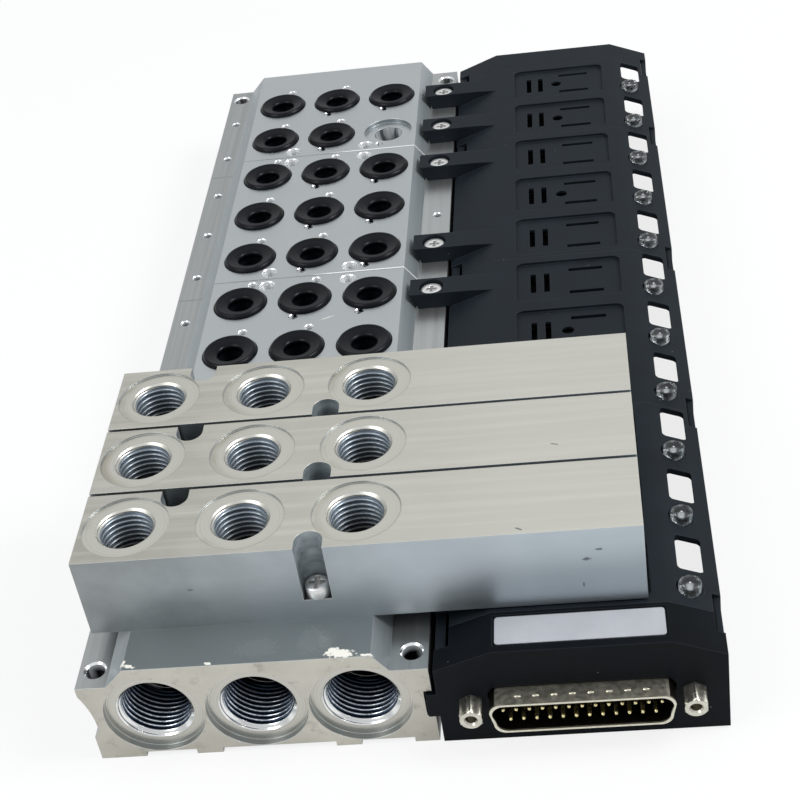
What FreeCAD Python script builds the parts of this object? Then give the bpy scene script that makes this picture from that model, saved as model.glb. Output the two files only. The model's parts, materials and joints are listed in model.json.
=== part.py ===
import FreeCAD, Part
import math
import os
import re

import Sketcher

# Valve island sub-base with eleven positions in a row along Y.
# X runs from the plain flange to the electrical side, with 0 at the middle seats, and Z is up from the base.
# Pieces are drawn with Y from the manifold's near end face. The finished pieces are then set back by half its
# length, so that the origin lies between the four mounting holes. Position 1 is the one next to the near end.

doc = FreeCAD.newDocument("valve_island")
dims = doc.addObject("Spreadsheet::Sheet", "Dims")

SIZES = (
    # row of positions
    ("row_pitch", "23"), ("end_margin", "11"), ("column_pitch", "18"),
    # manifold section
    ("deck_half", "26.9"), ("deck_height", "27"), ("manifold_half", "38.4"), ("flange_height", "22.2"),
    ("left_foot", "31.5"), ("right_foot", "30.3"), ("left_base", "37.5"), ("scallop_top", "19.8"),
    ("scallop_low", "9"), ("scallop_in", "2.2"), ("scallop_radius", "22"), ("toe_height", "7"),
    ("slot_low", "7.9"), ("slot_high", "15.4"), ("slot_deep", "1.8"), ("relief_height", "1.4"),
    ("relief_a_left", "27.2"), ("relief_a_right", "15.7"), ("relief_b_left", "9.8"),
    ("relief_b_right", "15.6"), ("relief_c_left", "21.2"), ("relief_c_right", "33"),
    # supply and exhaust channels with their threaded ends
    ("port_pitch", "22.8"), ("port_height", "12.8"), ("port_thread", "14.95"), ("port_thread_deep", "13"),
    ("port_face", "22.4"), ("port_face_deep", "1.6"), ("port_lead", "1.1"), ("channel", "13.5"),
    # valve seats and fixing holes of one position
    ("seat", "15"), ("seat_deep", "1.3"), ("seat_bore", "8.7"), ("fix_hole", "2.2"), ("fix_hole_deep", "8"),
    ("hole_lead", "0.25"),
    ("fix_across", "15.7"), ("pilot_across", "2.4"), ("fix_along", "8.7"), ("fix_shift", "0.55"),
    ("seal_gap", "0.15"),
    # flange holes
    ("flange_hole_x", "34.6"), ("flange_hole", "2.2"), ("flange_hole_deep", "8"), ("arm_shift", "1.2"),
    ("arm_hole_x", "34.85"), ("arm_hole_shift", "1"),
    ("mount_x", "34.8"), ("mount_inset", "5.4"), ("mount_hole", "4.3"), ("mount_lead", "0.45"),
    # joint between two manifold modules
    ("tie_x", "11.4"), ("tie_height", "18.6"), ("tie_pin", "5"), ("tie_reach", "8"), ("tie_screw", "4"),
    ("tie_screw_y", "3.3"), ("tie_screw_long", "5"), ("ring_wire", "1.6"), ("ring_seat_wide", "2.2"),
    ("key_socket", "2"), ("key_socket_deep", "1.8"), ("running_gap", "0.1"),
    # rubber seals
    ("seal_bore", "6.6"), ("seal_lip", "1.1"), ("seal_lip_wide", "1.6"), ("seal_slant", "0.6"), ("seal_dish", "0.4"),
    # far end plugs
    ("plug_long", "9"), ("plug_socket", "8"), ("plug_socket_deep", "5"), ("plug_sink", "2"),
    # supply blocks
    ("block_left", "35.7"), ("block_right", "85.5"), ("block_wide", "22.1"), ("block_height", "20.5"),
    ("block_port_pitch", "25.3"), ("block_thread", "11.445"), ("block_thread_deep", "13"),
    ("block_lead", "0.9"), ("block_face", "19.4"), ("block_face_deep", "0.4"), ("block_feed", "8.5"),
    ("block_feed_deep", "10"), ("notch", "6.2"), ("notch_floor", "5.8"), ("screw_clear", "3.4"),
    ("seal_room", "0.4"),
    # screws
    ("block_head", "5.4"), ("block_head_high", "3"), ("block_screw_long", "12"), ("shank", "2.1"),
    ("arm_head", "6.1"), ("arm_head_high", "1.8"), ("arm_screw_long", "8.5"), ("arm_sink", "2.5"),
    ("arm_bore", "6.8"),
    # electrical housing section
    ("cover_left", "39.4"), ("cover_right", "100.8"), ("cover_bottom", "0.5"), ("cover_side", "22"),
    ("plateau_left", "52"), ("plateau_right", "89.5"), ("cover_top", "26.6"), ("cover_wall", "1.6"),
    ("inner_wall", "90.2"), ("hook_reach", "2.4"), ("hook_gap", "0.5"),
    # arms over the flange
    ("arm_wide", "7.6"), ("arm_top", "26.9"), ("arm_tip", "29"), ("arm_foot", "31"), ("arm_flat", "46"),
    ("arm_seat_gap", "0.1"),
    # pocket of one position
    ("pocket_x", "72.05"), ("pocket_wide", "28.2"), ("pocket_long", "18.6"), ("pocket_deep", "0.8"),
    ("pocket_corner", "2.2"), ("pocket_shift", "-0.4"), ("contact_slot_wide", "1.55"),
    ("contact_slot_long", "9"), ("contact_slot_x", "62.6"), ("contact_slot_pitch", "3.65"),
    ("vent_wide", "9.2"), ("vent_long", "1.5"), ("vent_x", "76.8"), ("vent_half", "5.4"),
    ("override_x", "71.3"), ("override", "3.3"),
    # windows and light guides
    ("window_x", "95.1"), ("window_wide", "5.6"), ("window_long", "10.9"), ("window_near", "0.1"),
    ("window_corner", "1"), ("lens_x", "94.5"), ("lens_shift", "5.8"), ("lens", "5"), ("lens_seat", "24.1"),
    ("lens_boss", "6"), ("lens_high", "2.3"), ("lens_round", "0.5"), ("guide_stem", "3"),
    ("guide_bar_wide", "2"), ("guide_bar_high", "1.4"), ("guide_low", "21"), ("guide_end", "89.4"),
    ("guide_hole_gap", "0.25"),
    # side clips
    ("clip_half", "5.6"), ("clip_gap", "0.3"), ("clip_right_wide", "1.9"), ("clip_floor", "14"),
    ("clip_left_wide", "3.3"), ("clip_left_floor", "17"), ("clip_left_thick", "2.2"),
    # boards and what they carry
    ("board_low", "19"), ("board_thick", "1.6"), ("board_edge", "0.8"), ("board_left", "43"),
    ("board_right", "89.3"),
    ("board_boss", "3.6"), ("board_boss_left", "54.6"), ("board_boss_right", "85.5"), ("board_boss_inset", "4"),
    ("board_screw", "1.9"), ("board_screw_head", "3.6"), ("board_screw_high", "1.3"),
    ("board_screw_long", "5"), ("socket_left", "60"), ("socket_wide", "23"), ("socket_long", "11"),
    ("led_wide", "1.4"), ("led_long", "1.6"), ("led_high", "0.8"), ("link_long", "7"), ("link_wide", "23"),
    ("link_high", "6"), ("link_x", "69.5"),
    # bottom plates
    ("plate_thick", "1.8"), ("plate_gap", "0.15"), ("plate_rib", "1.2"), ("plate_rib_high", "3"),
    # end caps
    ("cap_proud", "0.8"), ("cap_wall", "1.8"), ("arch_high", "20"),
    # multipole connector
    ("dsub_x", "70"), ("dsub_height", "11.8"), ("dsub_wide", "38.96"), ("dsub_high", "8.36"),
    ("dsub_lean", "0.7"), ("dsub_corner", "2.6"), ("dsub_sheet", "0.5"), ("dsub_reach", "5"),
    ("dsub_flange_wide", "53.04"), ("dsub_flange_high", "12.55"), ("dsub_gap", "0.4"),
    ("pin_pitch", "2.77"), ("pin_rows", "2.84"), ("pin", "1"), ("pin_behind", "0.9"), ("pin_tail", "7.4"),
    ("jack_pitch", "47.04"), ("jack_flats", "4.8"), ("jack_high", "5"), ("jack_stud", "2.8"),
    ("jack_hole", "2.3"), ("jack_hole_deep", "4"), ("jack_tail", "4"), ("insulator_back", "4.5"),
    ("insulator_front", "0.6"), ("wire_board_y", "6.6"), ("wire_board_left", "44"),
    ("wire_board_right", "88.4"), ("wire_board_low", "3.4"), ("wire_board_high", "18.2"),
    # label
    ("label_left", "52.8"), ("label_wide", "35.8"), ("label_near", "1.6"), ("label_long", "8"),
    ("label_thick", "0.25"), ("label_recess", "0.35"), ("label_edge", "0.5"), ("label_corner", "0.8"),
)

MODULES = (3, 3, 3, 2)
POSITIONS = sum(MODULES)
SEAL_COLUMNS = (-1, 0, 1)
MISSING_SEAL = (10, 1)
ARM_POSITIONS = (1, 3, 4, 6, 7, 9, 10, 11)
OVERRIDE_POSITIONS = (5, 8, 10, 11)
BLOCK_POSITIONS = (1, 2, 3)

for line, (alias, size) in enumerate(SIZES, 1):
    dims.set(f"A{line}", alias)
    dims.set(f"B{line}", size)
    dims.setAlias(f"B{line}", alias)
doc.recompute()

WORDS = re.compile(r"\b(" + "|".join(alias for alias, size in SIZES) + r")\b")
TOP = "deck_height"
FULL_LENGTH = f"(2 * end_margin + {POSITIONS} * row_pitch)"


def sheet(text):
    """The expression with each size's name pointing at its cell."""
    return WORDS.sub(r"Dims.\1", str(text))


def number(text):
    return float(dims.evalExpression(sheet(text)))


def bind(item, prop, text):
    item.setExpression(prop, sheet(text))


def position_y(position):
    return f"(end_margin + row_pitch * {position - 0.5})"


def fix_y(position):
    return f"({position_y(position)} + fix_shift)"


def module_positions(module):
    first = sum(MODULES[:module]) + 1
    return list(range(first, first + MODULES[module]))


def seam_y(module):
    """Y of the joint beyond a module."""
    return f"(end_margin + row_pitch * {sum(MODULES[:module + 1])})"


def manifold_span(module):
    near = seam_y(module - 1) if module else "0"
    far = seam_y(module) if module + 1 < len(MODULES) else FULL_LENGTH
    return near, far


def cover_span(module):
    near = seam_y(module - 1) if module else "end_margin"
    return near, seam_y(module)


# Sketches, pads and pockets

def new_body(name):
    body = doc.addObject("PartDesign::Body", name)
    body.Label = name
    return body


def origin_item(body, role):
    return next(item for item in body.Origin.OriginFeatures if item.Role == role)


def new_sketch(body, name, plane, level):
    """A sketch on XY at the height level, or on XZ at the distance level along Y."""
    sketch = body.newObject("Sketcher::SketchObject", name)
    sketch.AttachmentSupport = (origin_item(body, f"{plane}_Plane"), [""])
    sketch.MapMode = "FlatFace"
    bind(sketch, "AttachmentOffset.Base.z", level if plane == "XY" else f"-({level})")
    return sketch


def pin_point(sketch, element, end, across, up):
    """Ties one point of an outline to the sketch's origin by its two sizes."""
    for kind, text, axis in (("DistanceX", across, -2), ("DistanceY", up, -1)):
        if text == "0":
            sketch.addConstraint(Sketcher.Constraint("PointOnObject", element, end, axis))
            continue
        place = sketch.addConstraint(Sketcher.Constraint(kind, -1, 1, element, end, number(text)))
        bind(sketch, f"Constraints[{place}]", text)


def arc_between(start, finish, radius, bulges_out):
    """The short arc, counter-clockwise from start to finish, or back again where it bulges in."""
    if not bulges_out:
        start, finish = finish, start
    chord = finish - start
    middle = (start + finish) * 0.5
    rise = math.sqrt(max(radius ** 2 - (chord.Length / 2) ** 2, 0))
    normal = FreeCAD.Vector(-chord.y, chord.x, 0).normalize()
    centre = middle + normal * rise
    circle = Part.Circle(centre, FreeCAD.Vector(0, 0, 1), radius)
    angles = [math.atan2(point.y - centre.y, point.x - centre.x) for point in (start, finish)]
    return Part.ArcOfCircle(circle, angles[0], angles[1])


def outline(body, name, plane, level, points, arcs=None):
    """A closed outline, counter-clockwise. arcs gives a side's radius and whether it bulges out."""
    arcs = arcs or {}
    sketch = new_sketch(body, name, plane, level)
    add_outline(sketch, points, arcs)
    return sketch


def add_outline(sketch, points, arcs):
    places = [FreeCAD.Vector(number(across), number(up), 0) for across, up in points]
    first = sketch.GeometryCount
    ends = []
    for side, start in enumerate(places):
        finish = places[(side + 1) % len(places)]
        if side in arcs:
            radius, bulges_out = arcs[side]
            sketch.addGeometry(arc_between(start, finish, number(radius), bulges_out))
            ends.append((1, 2) if bulges_out else (2, 1))
            place = sketch.addConstraint(Sketcher.Constraint("Radius", first + side, number(radius)))
            bind(sketch, f"Constraints[{place}]", radius)
        else:
            sketch.addGeometry(Part.LineSegment(start, finish))
            ends.append((1, 2))
    for side, (across, up) in enumerate(points):
        following = (side + 1) % len(points)
        sketch.addConstraint(Sketcher.Constraint(
            "Coincident", first + side, ends[side][1], first + following, ends[following][0]))
        pin_point(sketch, first + side, ends[side][0], across, up)


def circles(body, name, plane, level, holes):
    sketch = new_sketch(body, name, plane, level)
    for across, up, width in holes:
        centre = FreeCAD.Vector(number(across), number(up), 0)
        circle = Part.Circle(centre, FreeCAD.Vector(0, 0, 1), number(width) / 2)
        element = sketch.addGeometry(circle)
        pin_point(sketch, element, 3, across, up)
        place = sketch.addConstraint(Sketcher.Constraint("Diameter", element, number(width)))
        bind(sketch, f"Constraints[{place}]", width)
    return sketch


def box_points(left, right, low, high):
    return [(left, low), (right, low), (right, high), (left, high)]


def rounded_box(x, y, wide, high, radius):
    """Points and arcs of a box with rounded corners round a centre."""
    left, right = f"{x} - {wide} / 2", f"{x} + {wide} / 2"
    low, top = f"{y} - {high} / 2", f"{y} + {high} / 2"
    points = [
        (f"{left} + {radius}", low), (f"{right} - {radius}", low),
        (right, f"{low} + {radius}"), (right, f"{top} - {radius}"),
        (f"{right} - {radius}", top), (f"{left} + {radius}", top),
        (left, f"{top} - {radius}"), (left, f"{low} + {radius}"),
    ]
    return points, {side: (radius, True) for side in (1, 3, 5, 7)}


def pad(body, name, sketch, length):
    """Pads upward from an XY sketch and away from the near end from an XZ sketch."""
    feature = body.newObject("PartDesign::Pad", name)
    feature.Profile = sketch
    feature.Reversed = "XZ" in sketch.AttachmentSupport[0][0].Role
    bind(feature, "Length", length)
    return feature


def pocket(body, name, sketch, depth=None, back=False):
    """Cuts downward from an XY sketch and away from the near end from an XZ sketch, or back."""
    feature = body.newObject("PartDesign::Pocket", name)
    feature.Profile = sketch
    feature.Reversed = back
    if depth is None:
        feature.Type = "ThroughAll"
    else:
        bind(feature, "Length", depth)
    return feature


def drill(body, name, sketch, width, depth, lead):
    """Blind holes with a countersunk mouth at each circle of an XY sketch."""
    feature = body.newObject("PartDesign::Hole", name)
    feature.Profile = sketch
    doc.recompute()
    feature.ThreadType = "None"
    feature.DepthType = "Dimension"
    feature.DrillPoint = "Flat"
    feature.HoleCutType = "Countersink"
    bind(feature, "Diameter", width)
    bind(feature, "Depth", depth)
    bind(feature, "HoleCutDiameter", f"{width} + 2 * {lead}")
    feature.HoleCutCountersinkAngle = 90
    return feature


def repeat_along(body, name, features, count):
    """Copies features from position to position along Y."""
    feature = body.newObject("PartDesign::LinearPattern", name)
    feature.Originals = features
    feature.Direction = (origin_item(body, "Y_Axis"), [""])
    feature.Mode = "Extent"
    feature.Occurrences = count
    bind(feature, "Length", f"row_pitch * {count - 1}")
    body.Tip = feature
    return feature


def bevel_circles(body, name, size, radius, axis, level):
    """Chamfers the round edges of one radius that lie at one level along an axis."""
    doc.recompute()
    base = body.Tip
    chosen = []
    for place, edge in enumerate(base.Shape.Edges, 1):
        curve = edge.Curve
        if not isinstance(curve, Part.Circle) or abs(curve.Radius - number(radius)) > 0.01:
            continue
        if abs(getattr(curve.Center, axis) - number(level)) < 0.01:
            chosen.append(f"Edge{place}")
    feature = body.newObject("PartDesign::Chamfer", name)
    feature.Base = (base, chosen)
    bind(feature, "Size", size)
    body.Tip = feature
    return feature


# Loose shapes and groups

def place_at(item, x="0", y="0", z="0"):
    for axis, text in (("x", x), ("y", y), ("z", z)):
        bind(item, f"Placement.Base.{axis}", text)
    return item


def box(name, wide, long, high, x, y, z):
    item = doc.addObject("Part::Box", name)
    for prop, text in (("Length", wide), ("Width", long), ("Height", high)):
        bind(item, prop, text)
    return place_at(item, x, y, z)


def cylinder(name, width, high, x, y, z, along_y=False):
    item = doc.addObject("Part::Cylinder", name)
    bind(item, "Radius", f"({width}) / 2")
    bind(item, "Height", high)
    if along_y:
        item.Placement.Rotation = FreeCAD.Rotation(FreeCAD.Vector(1, 0, 0), -90)
    return place_at(item, x, y, z)


def prism(name, sides, flats, high, x, y, z, along_y=False):
    """A prism with a given width across its flats."""
    item = doc.addObject("Part::Prism", name)
    item.Polygon = sides
    bind(item, "Circumradius", f"({flats}) / 2 / cos(180 deg / {sides})")
    bind(item, "Height", high)
    if along_y:
        item.Placement.Rotation = FreeCAD.Rotation(FreeCAD.Vector(1, 0, 0), -90)
    return place_at(item, x, y, z)


def cut(name, base, tool):
    item = doc.addObject("Part::Cut", name)
    item.Base = base
    item.Tool = tool
    return item


def fuse(name, pieces):
    item = doc.addObject("Part::MultiFuse", name)
    item.Shapes = pieces
    item.Refine = True
    return item


def group(name, pieces):
    item = doc.addObject("Part::Compound", name)
    item.Links = pieces
    item.Label = name
    return item


# Manifold

def manifold_section():
    points = [
        ("-left_base", "0"),
        ("-relief_a_left", "0"), ("-relief_a_left", "relief_height"),
        ("-relief_a_right", "relief_height"), ("-relief_a_right", "0"),
        ("-relief_b_left", "0"), ("-relief_b_left", "relief_height"),
        ("relief_b_right", "relief_height"), ("relief_b_right", "0"),
        ("relief_c_left", "0"), ("relief_c_left", "relief_height"),
        ("relief_c_right", "relief_height"), ("relief_c_right", "0"),
        ("manifold_half", "0"), ("manifold_half", "slot_low"), ("manifold_half - slot_deep", "slot_low"),
        ("manifold_half - slot_deep", "slot_high"), ("manifold_half", "slot_high"),
        ("manifold_half", "flange_height"), ("right_foot", "flange_height"),
        ("deck_half", TOP), ("-deck_half", TOP), ("-left_foot", "flange_height"),
        ("-manifold_half", "flange_height"), ("-manifold_half", "scallop_top"),
        ("-manifold_half + scallop_in", "scallop_low"), ("-left_base", "toe_height"),
    ]
    scallop_side = len(points) - 3
    return points, {scallop_side: ("scallop_radius", False)}


def channel_circles(body, name, level, width):
    holes = [(f"{side} * port_pitch", "port_height", width) for side in (-1, 1)]
    return circles(body, name, "XZ", level, [holes[0], ("0", "port_height", width), holes[1]])


def threaded_ends(body, level, back):
    """Three spot-faced threaded bores in an end face."""
    end = "far" if back else "near"
    step = "-" if back else "+"
    face = channel_circles(body, f"{body.Name}_{end}_faces", level, "port_face")
    pocket(body, f"{body.Name}_{end}_spots", face, "port_face_deep", back)
    floor = f"({level} {step} port_face_deep)"
    mouth = channel_circles(body, f"{body.Name}_{end}_mouths", floor, "port_thread")
    pocket(body, f"{body.Name}_{end}_threads", mouth, "port_thread_deep", back)
    bevel_circles(body, f"{body.Name}_{end}_leads", "port_lead", "port_thread / 2", "y", floor)


def seat_features(body, first):
    """Seats, feed bores and fixing holes of the module's first position."""
    name = body.Name
    columns = [f"{column} * column_pitch" if column else "0" for column in SEAL_COLUMNS]
    y = position_y(first)
    seats = circles(body, f"{name}_seats", "XY", TOP, [(x, y, "seat") for x in columns])
    bores = circles(body, f"{name}_bores", "XY", TOP, [(x, y, "seat_bore") for x in columns])
    far_side, near_side = f"{fix_y(first)} + fix_along", f"{fix_y(first)} - fix_along"
    fixing = circles(body, f"{name}_fixing", "XY", TOP, [
        ("-fix_across", far_side, "fix_hole"), ("pilot_across", far_side, "fix_hole"),
        ("-pilot_across", near_side, "fix_hole"), ("fix_across", near_side, "fix_hole")])
    return [
        pocket(body, f"{name}_seat_cut", seats, "seat_deep"),
        pocket(body, f"{name}_bore_cut", bores, "deck_height - port_height"),
        drill(body, f"{name}_fixing_cut", fixing, "fix_hole", "fix_hole_deep", "hole_lead"),
    ]


def arm_hole_y(position):
    return f"({position_y(position)} + arm_hole_shift)"


def flange_holes(body, positions):
    holes = [("-flange_hole_x", position_y(position), "flange_hole") for position in positions]
    for position in positions:
        if position in ARM_POSITIONS:
            holes.append(("arm_hole_x", arm_hole_y(position), "flange_hole"))
        else:
            holes.append(("flange_hole_x", position_y(position), "flange_hole"))
    sketch = circles(body, f"{body.Name}_flange_holes", "XY", "flange_height", holes)
    drill(body, f"{body.Name}_flange_cut", sketch, "flange_hole", "flange_hole_deep", "hole_lead")


def mounting_holes(body, y):
    holes = [("-mount_x", y, "mount_hole"), ("mount_x", y, "mount_hole")]
    sketch = circles(body, f"{body.Name}_mounts", "XY", "flange_height", holes)
    pocket(body, f"{body.Name}_mount_cut", sketch)
    bevel_circles(body, f"{body.Name}_mount_leads", "mount_lead", "mount_hole / 2", "z", "flange_height")


def tie_features(body, level, back):
    """Pin bores and grub screw bores at one joint, and O-ring seats where the joint is beyond."""
    end = "far" if back else "near"
    name = f"{body.Name}_{end}"
    step = "-" if back else "+"
    pins = [(x, "tie_height", "tie_pin + running_gap") for x in ("-tie_x", "tie_x")]
    pocket(body, f"{name}_pins", circles(body, f"{name}_pin_holes", "XZ", level, pins), "tie_reach", back)
    screws = [(x, f"{level} {step} tie_screw_y", "tie_screw + running_gap") for x in ("-tie_x", "tie_x")]
    screw_holes = circles(body, f"{name}_screw_holes", "XY", TOP, screws)
    drill(body, f"{name}_screws", screw_holes, "tie_screw + running_gap", "deck_height - tie_height", "hole_lead")
    if back:
        rings = channel_circles(body, f"{name}_ring_seats", level, "channel + 2 * ring_seat_wide")
        pocket(body, f"{name}_rings", rings, "ring_wire", back)


def make_manifold(module):
    body = new_body(f"manifold_module_{module + 1}")
    near, far = manifold_span(module)
    points, arcs = manifold_section()
    section = outline(body, f"{body.Name}_section", "XZ", near, points, arcs)
    pad(body, f"{body.Name}_bar", section, f"{far} - {near}")
    pocket(body, f"{body.Name}_channels", channel_circles(body, f"{body.Name}_bores_y", near, "channel"))
    positions = module_positions(module)
    repeat_along(body, f"{body.Name}_positions", seat_features(body, positions[0]), len(positions))
    flange_holes(body, positions)
    if module == 0:
        threaded_ends(body, near, False)
        mounting_holes(body, "mount_inset")
    else:
        tie_features(body, near, False)
    if module + 1 == len(MODULES):
        threaded_ends(body, far, True)
        mounting_holes(body, f"{FULL_LENGTH} - mount_inset")
    else:
        tie_features(body, far, True)


def make_joint_pieces():
    pins, screws, rings = [], [], []
    for module in range(len(MODULES) - 1):
        seam = seam_y(module)
        for side in (-1, 1):
            name = f"{module}_{'left' if side < 0 else 'right'}"
            x = f"{side} * tie_x"
            pin = cylinder(f"tie_pin_{name}", "tie_pin", "2 * (tie_reach - running_gap)", x,
                           f"{seam} - tie_reach + running_gap", "tie_height", True)
            waist = []
            for step in (-1, 1):
                y = f"{seam} + {step} * tie_screw_y"
                top = "tie_height + tie_pin / 4"
                screw = cylinder(f"grub_{name}_{step + 1}", "tie_screw", "tie_screw_long", x, y, top)
                key = prism(f"key_{name}_{step + 1}", 6, "key_socket", "key_socket_deep", x, y,
                            f"{top} + tie_screw_long - key_socket_deep")
                screws.append(cut(f"grub_screw_{name}_{step + 1}", screw, key))
                waist.append(cylinder(f"flat_{name}_{step + 1}", "tie_screw + running_gap",
                                      "tie_pin", x, y, top))
            pins.append(cut(f"joint_pin_{name}", pin, fuse(f"flats_{name}", waist)))
        for side in (-1, 0, 1):
            place = (f"{side} * port_pitch", f"{seam} - ring_wire", "port_height", True)
            rim = cylinder(f"ring_rim_{module}_{side + 1}", "channel + 2 * ring_seat_wide - running_gap",
                           "ring_wire", *place)
            hole = cylinder(f"ring_hole_{module}_{side + 1}", "channel", "ring_wire", *place)
            rings.append(cut(f"ring_{module}_{side + 1}", rim, hole))
    group("joint_pins", pins)
    group("joint_grub_screws", screws)
    group("channel_rings", rings)


def make_far_plugs():
    plugs = []
    for side in (-1, 0, 1):
        x, y = f"{side} * port_pitch", f"{FULL_LENGTH} - port_face_deep - plug_sink"
        plug = cylinder(f"plug_{side + 1}", "port_thread - running_gap", "plug_long", x, f"{y} - plug_long",
                        "port_height", True)
        socket = prism(f"plug_key_{side + 1}", 6, "plug_socket", "plug_socket_deep", x,
                       f"{y} - plug_socket_deep", "port_height", True)
        plugs.append(cut(f"far_plug_{side + 1}", plug, socket))
    group("far_port_plugs", plugs)


# Seals

def seal_profile():
    """Half section of one rubber seal, turned about the sketch's upright axis."""
    sketch = doc.addObject("Sketcher::SketchObject", "seal_profile")
    sketch.Placement.Rotation = FreeCAD.Rotation(FreeCAD.Vector(1, 0, 0), 90)
    inner, outer = "seal_bore / 2", "(seat / 2 - seal_gap)"
    points = [
        (inner, "-seat_deep"), (outer, "-seat_deep"), (outer, "0"),
        (f"{outer} - seal_slant", "seal_lip"), (f"{outer} - seal_lip_wide", "seal_lip * 0.75"),
        (f"{inner} + seal_dish", "seal_dish"), (inner, "-seal_dish / 2"),
    ]
    add_outline(sketch, points, {})
    return sketch


def make_seals():
    profile = seal_profile()
    for position in range(1, POSITIONS + 1):
        seals = []
        for column in SEAL_COLUMNS:
            if (position, column) == MISSING_SEAL:
                continue
            seal = doc.addObject("Part::Revolution", f"seal_{position}_{column + 2}")
            seal.Source = profile
            seal.Axis = FreeCAD.Vector(0, 0, 1)
            seal.Base = FreeCAD.Vector(0, 0, 0)
            seal.Angle = 360
            seal.Solid = True
            seals.append(place_at(seal, f"{column} * column_pitch", position_y(position), TOP))
        group(f"seals_position_{position}", seals)


# Supply blocks and their screws

def make_supply_block(place, position):
    body = new_body(f"supply_block_{place}")
    name = body.Name
    middle = fix_y(position)
    near, far = f"({middle} - block_wide / 2)", f"({middle} + block_wide / 2)"
    top = "(deck_height + block_height)"
    section = outline(body, f"{name}_plan", "XY", TOP, box_points("-block_left", "block_right", near, far))
    pad(body, f"{name}_bar", section, "block_height")
    ports = [(f"{side} * block_port_pitch" if side else "0", middle) for side in (-1, 0, 1)]
    faces = circles(body, f"{name}_faces", "XY", top, [(x, y, "block_face") for x, y in ports])
    pocket(body, f"{name}_spots", faces, "block_face_deep")
    floor = f"({top} - block_face_deep)"
    mouths = circles(body, f"{name}_mouths", "XY", floor, [(x, y, "block_thread") for x, y in ports])
    pocket(body, f"{name}_threads", mouths, "block_thread_deep")
    bevel_circles(body, f"{name}_leads", "block_lead", "block_thread / 2", "z", floor)
    seats = [(f"{side} * column_pitch" if side else "0", position_y(position)) for side in (-1, 0, 1)]
    feeds = circles(body, f"{name}_feeds", "XY", TOP, [(x, y, "block_feed") for x, y in seats])
    pocket(body, f"{name}_feed_cut", feeds, "block_feed_deep", True)
    rooms = circles(body, f"{name}_rooms", "XY", TOP, [(x, y, "seat + seal_room") for x, y in seats])
    pocket(body, f"{name}_room_cut", rooms, "seal_lip + running_gap", True)
    screw_notches(body, middle, near, far, top)


def screw_notches(body, middle, near, far, top):
    """Round-ended notches for the two fixing screws, with a hole through the floor of each."""
    ledge = "(deck_height + notch_floor)"
    for end, x, y, low, high in (
            ("near", "fix_across", f"({middle} - fix_along)", near, f"({middle} - fix_along)"),
            ("far", "-fix_across", f"({middle} + fix_along)", f"({middle} + fix_along)", far)):
        name = f"{body.Name}_{end}"
        plan = outline(body, f"{name}_notch", "XY", top,
                       box_points(f"{x} - notch / 2", f"{x} + notch / 2", low, high))
        pocket(body, f"{name}_notch_cut", plan, f"{top} - {ledge}")
        pocket(body, f"{name}_round_cut", circles(body, f"{name}_round", "XY", top, [(x, y, "notch")]),
               f"{top} - {ledge}")
        hole = circles(body, f"{name}_hole", "XY", ledge, [(x, y, "screw_clear")])
        pocket(body, f"{name}_hole_cut", hole, "notch_floor")


def screw(name, head, head_high, long, x, y, head_low):
    """A cylinder head on a shank, its underside at head_low."""
    top = cylinder(f"{name}_head", head, head_high, x, y, head_low)
    stem = cylinder(f"{name}_stem", "shank", f"{long}", x, y, f"{head_low} - {long}")
    return fuse(name, [top, stem])


def make_block_screws():
    screws = []
    for place, position in enumerate(BLOCK_POSITIONS, 1):
        for end, side in (("near", 1), ("far", -1)):
            screws.append(screw(f"block_screw_{place}_{end}", "block_head", "block_head_high",
                                "block_screw_long", f"{side} * fix_across",
                                f"{fix_y(position)} - {side} * fix_along", "deck_height + notch_floor"))
    group("supply_block_screws", screws)


# Electrical housing

def shell_points():
    """Section of the housing: outer skin, the wall inside and the channel under the windows."""
    slope = "((cover_top - cover_side) / (plateau_left - cover_left))"
    fall = "((cover_top - cover_side) / (cover_right - plateau_right))"
    inner_left, inner_right = "(cover_left + cover_wall)", "(cover_right - cover_wall)"
    ceiling = "(cover_top - cover_wall)"
    partition = "(inner_wall + cover_wall)"
    return [
        ("cover_left", "cover_bottom"), (inner_left, "cover_bottom"),
        (inner_left, f"cover_side + {slope} * cover_wall - cover_wall"),
        ("plateau_left", ceiling), ("plateau_right", ceiling),
        ("inner_wall", f"{ceiling} - {fall} * (inner_wall - plateau_right)"),
        ("inner_wall", "cover_bottom"), (partition, "cover_bottom"),
        (partition, f"{ceiling} - {fall} * ({partition} - plateau_right)"),
        (inner_right, f"{ceiling} - {fall} * ({inner_right} - plateau_right)"),
        (inner_right, "cover_bottom"), ("cover_right", "cover_bottom"),
        ("cover_right", "cover_side"), ("plateau_right", "cover_top"),
        ("plateau_left", "cover_top"), ("cover_left", "cover_side"),
        ("cover_left", "slot_high - hook_gap"), ("cover_left - hook_reach", "slot_high - hook_gap"),
        ("cover_left - hook_reach", "slot_low + hook_gap"), ("cover_left", "slot_low + hook_gap"),
    ]


def clip_notches(body, name, seam, inward):
    """Openings at both edges of the housing for the clips that join it to its neighbour."""
    low, high = (seam, f"{seam} + clip_half") if inward > 0 else (f"{seam} - clip_half", seam)
    right = outline(body, f"{name}_right_notch", "XY", "cover_top",
                    box_points("cover_right - clip_right_wide", "cover_right + 1", low, high))
    pocket(body, f"{name}_right_notch_cut", right, "cover_top - clip_floor")
    left = outline(body, f"{name}_left_notch", "XY", "cover_top",
                   box_points("cover_left - 1", "cover_left + clip_left_wide", low, high))
    pocket(body, f"{name}_left_notch_cut", left, "cover_top - clip_left_floor")


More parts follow.
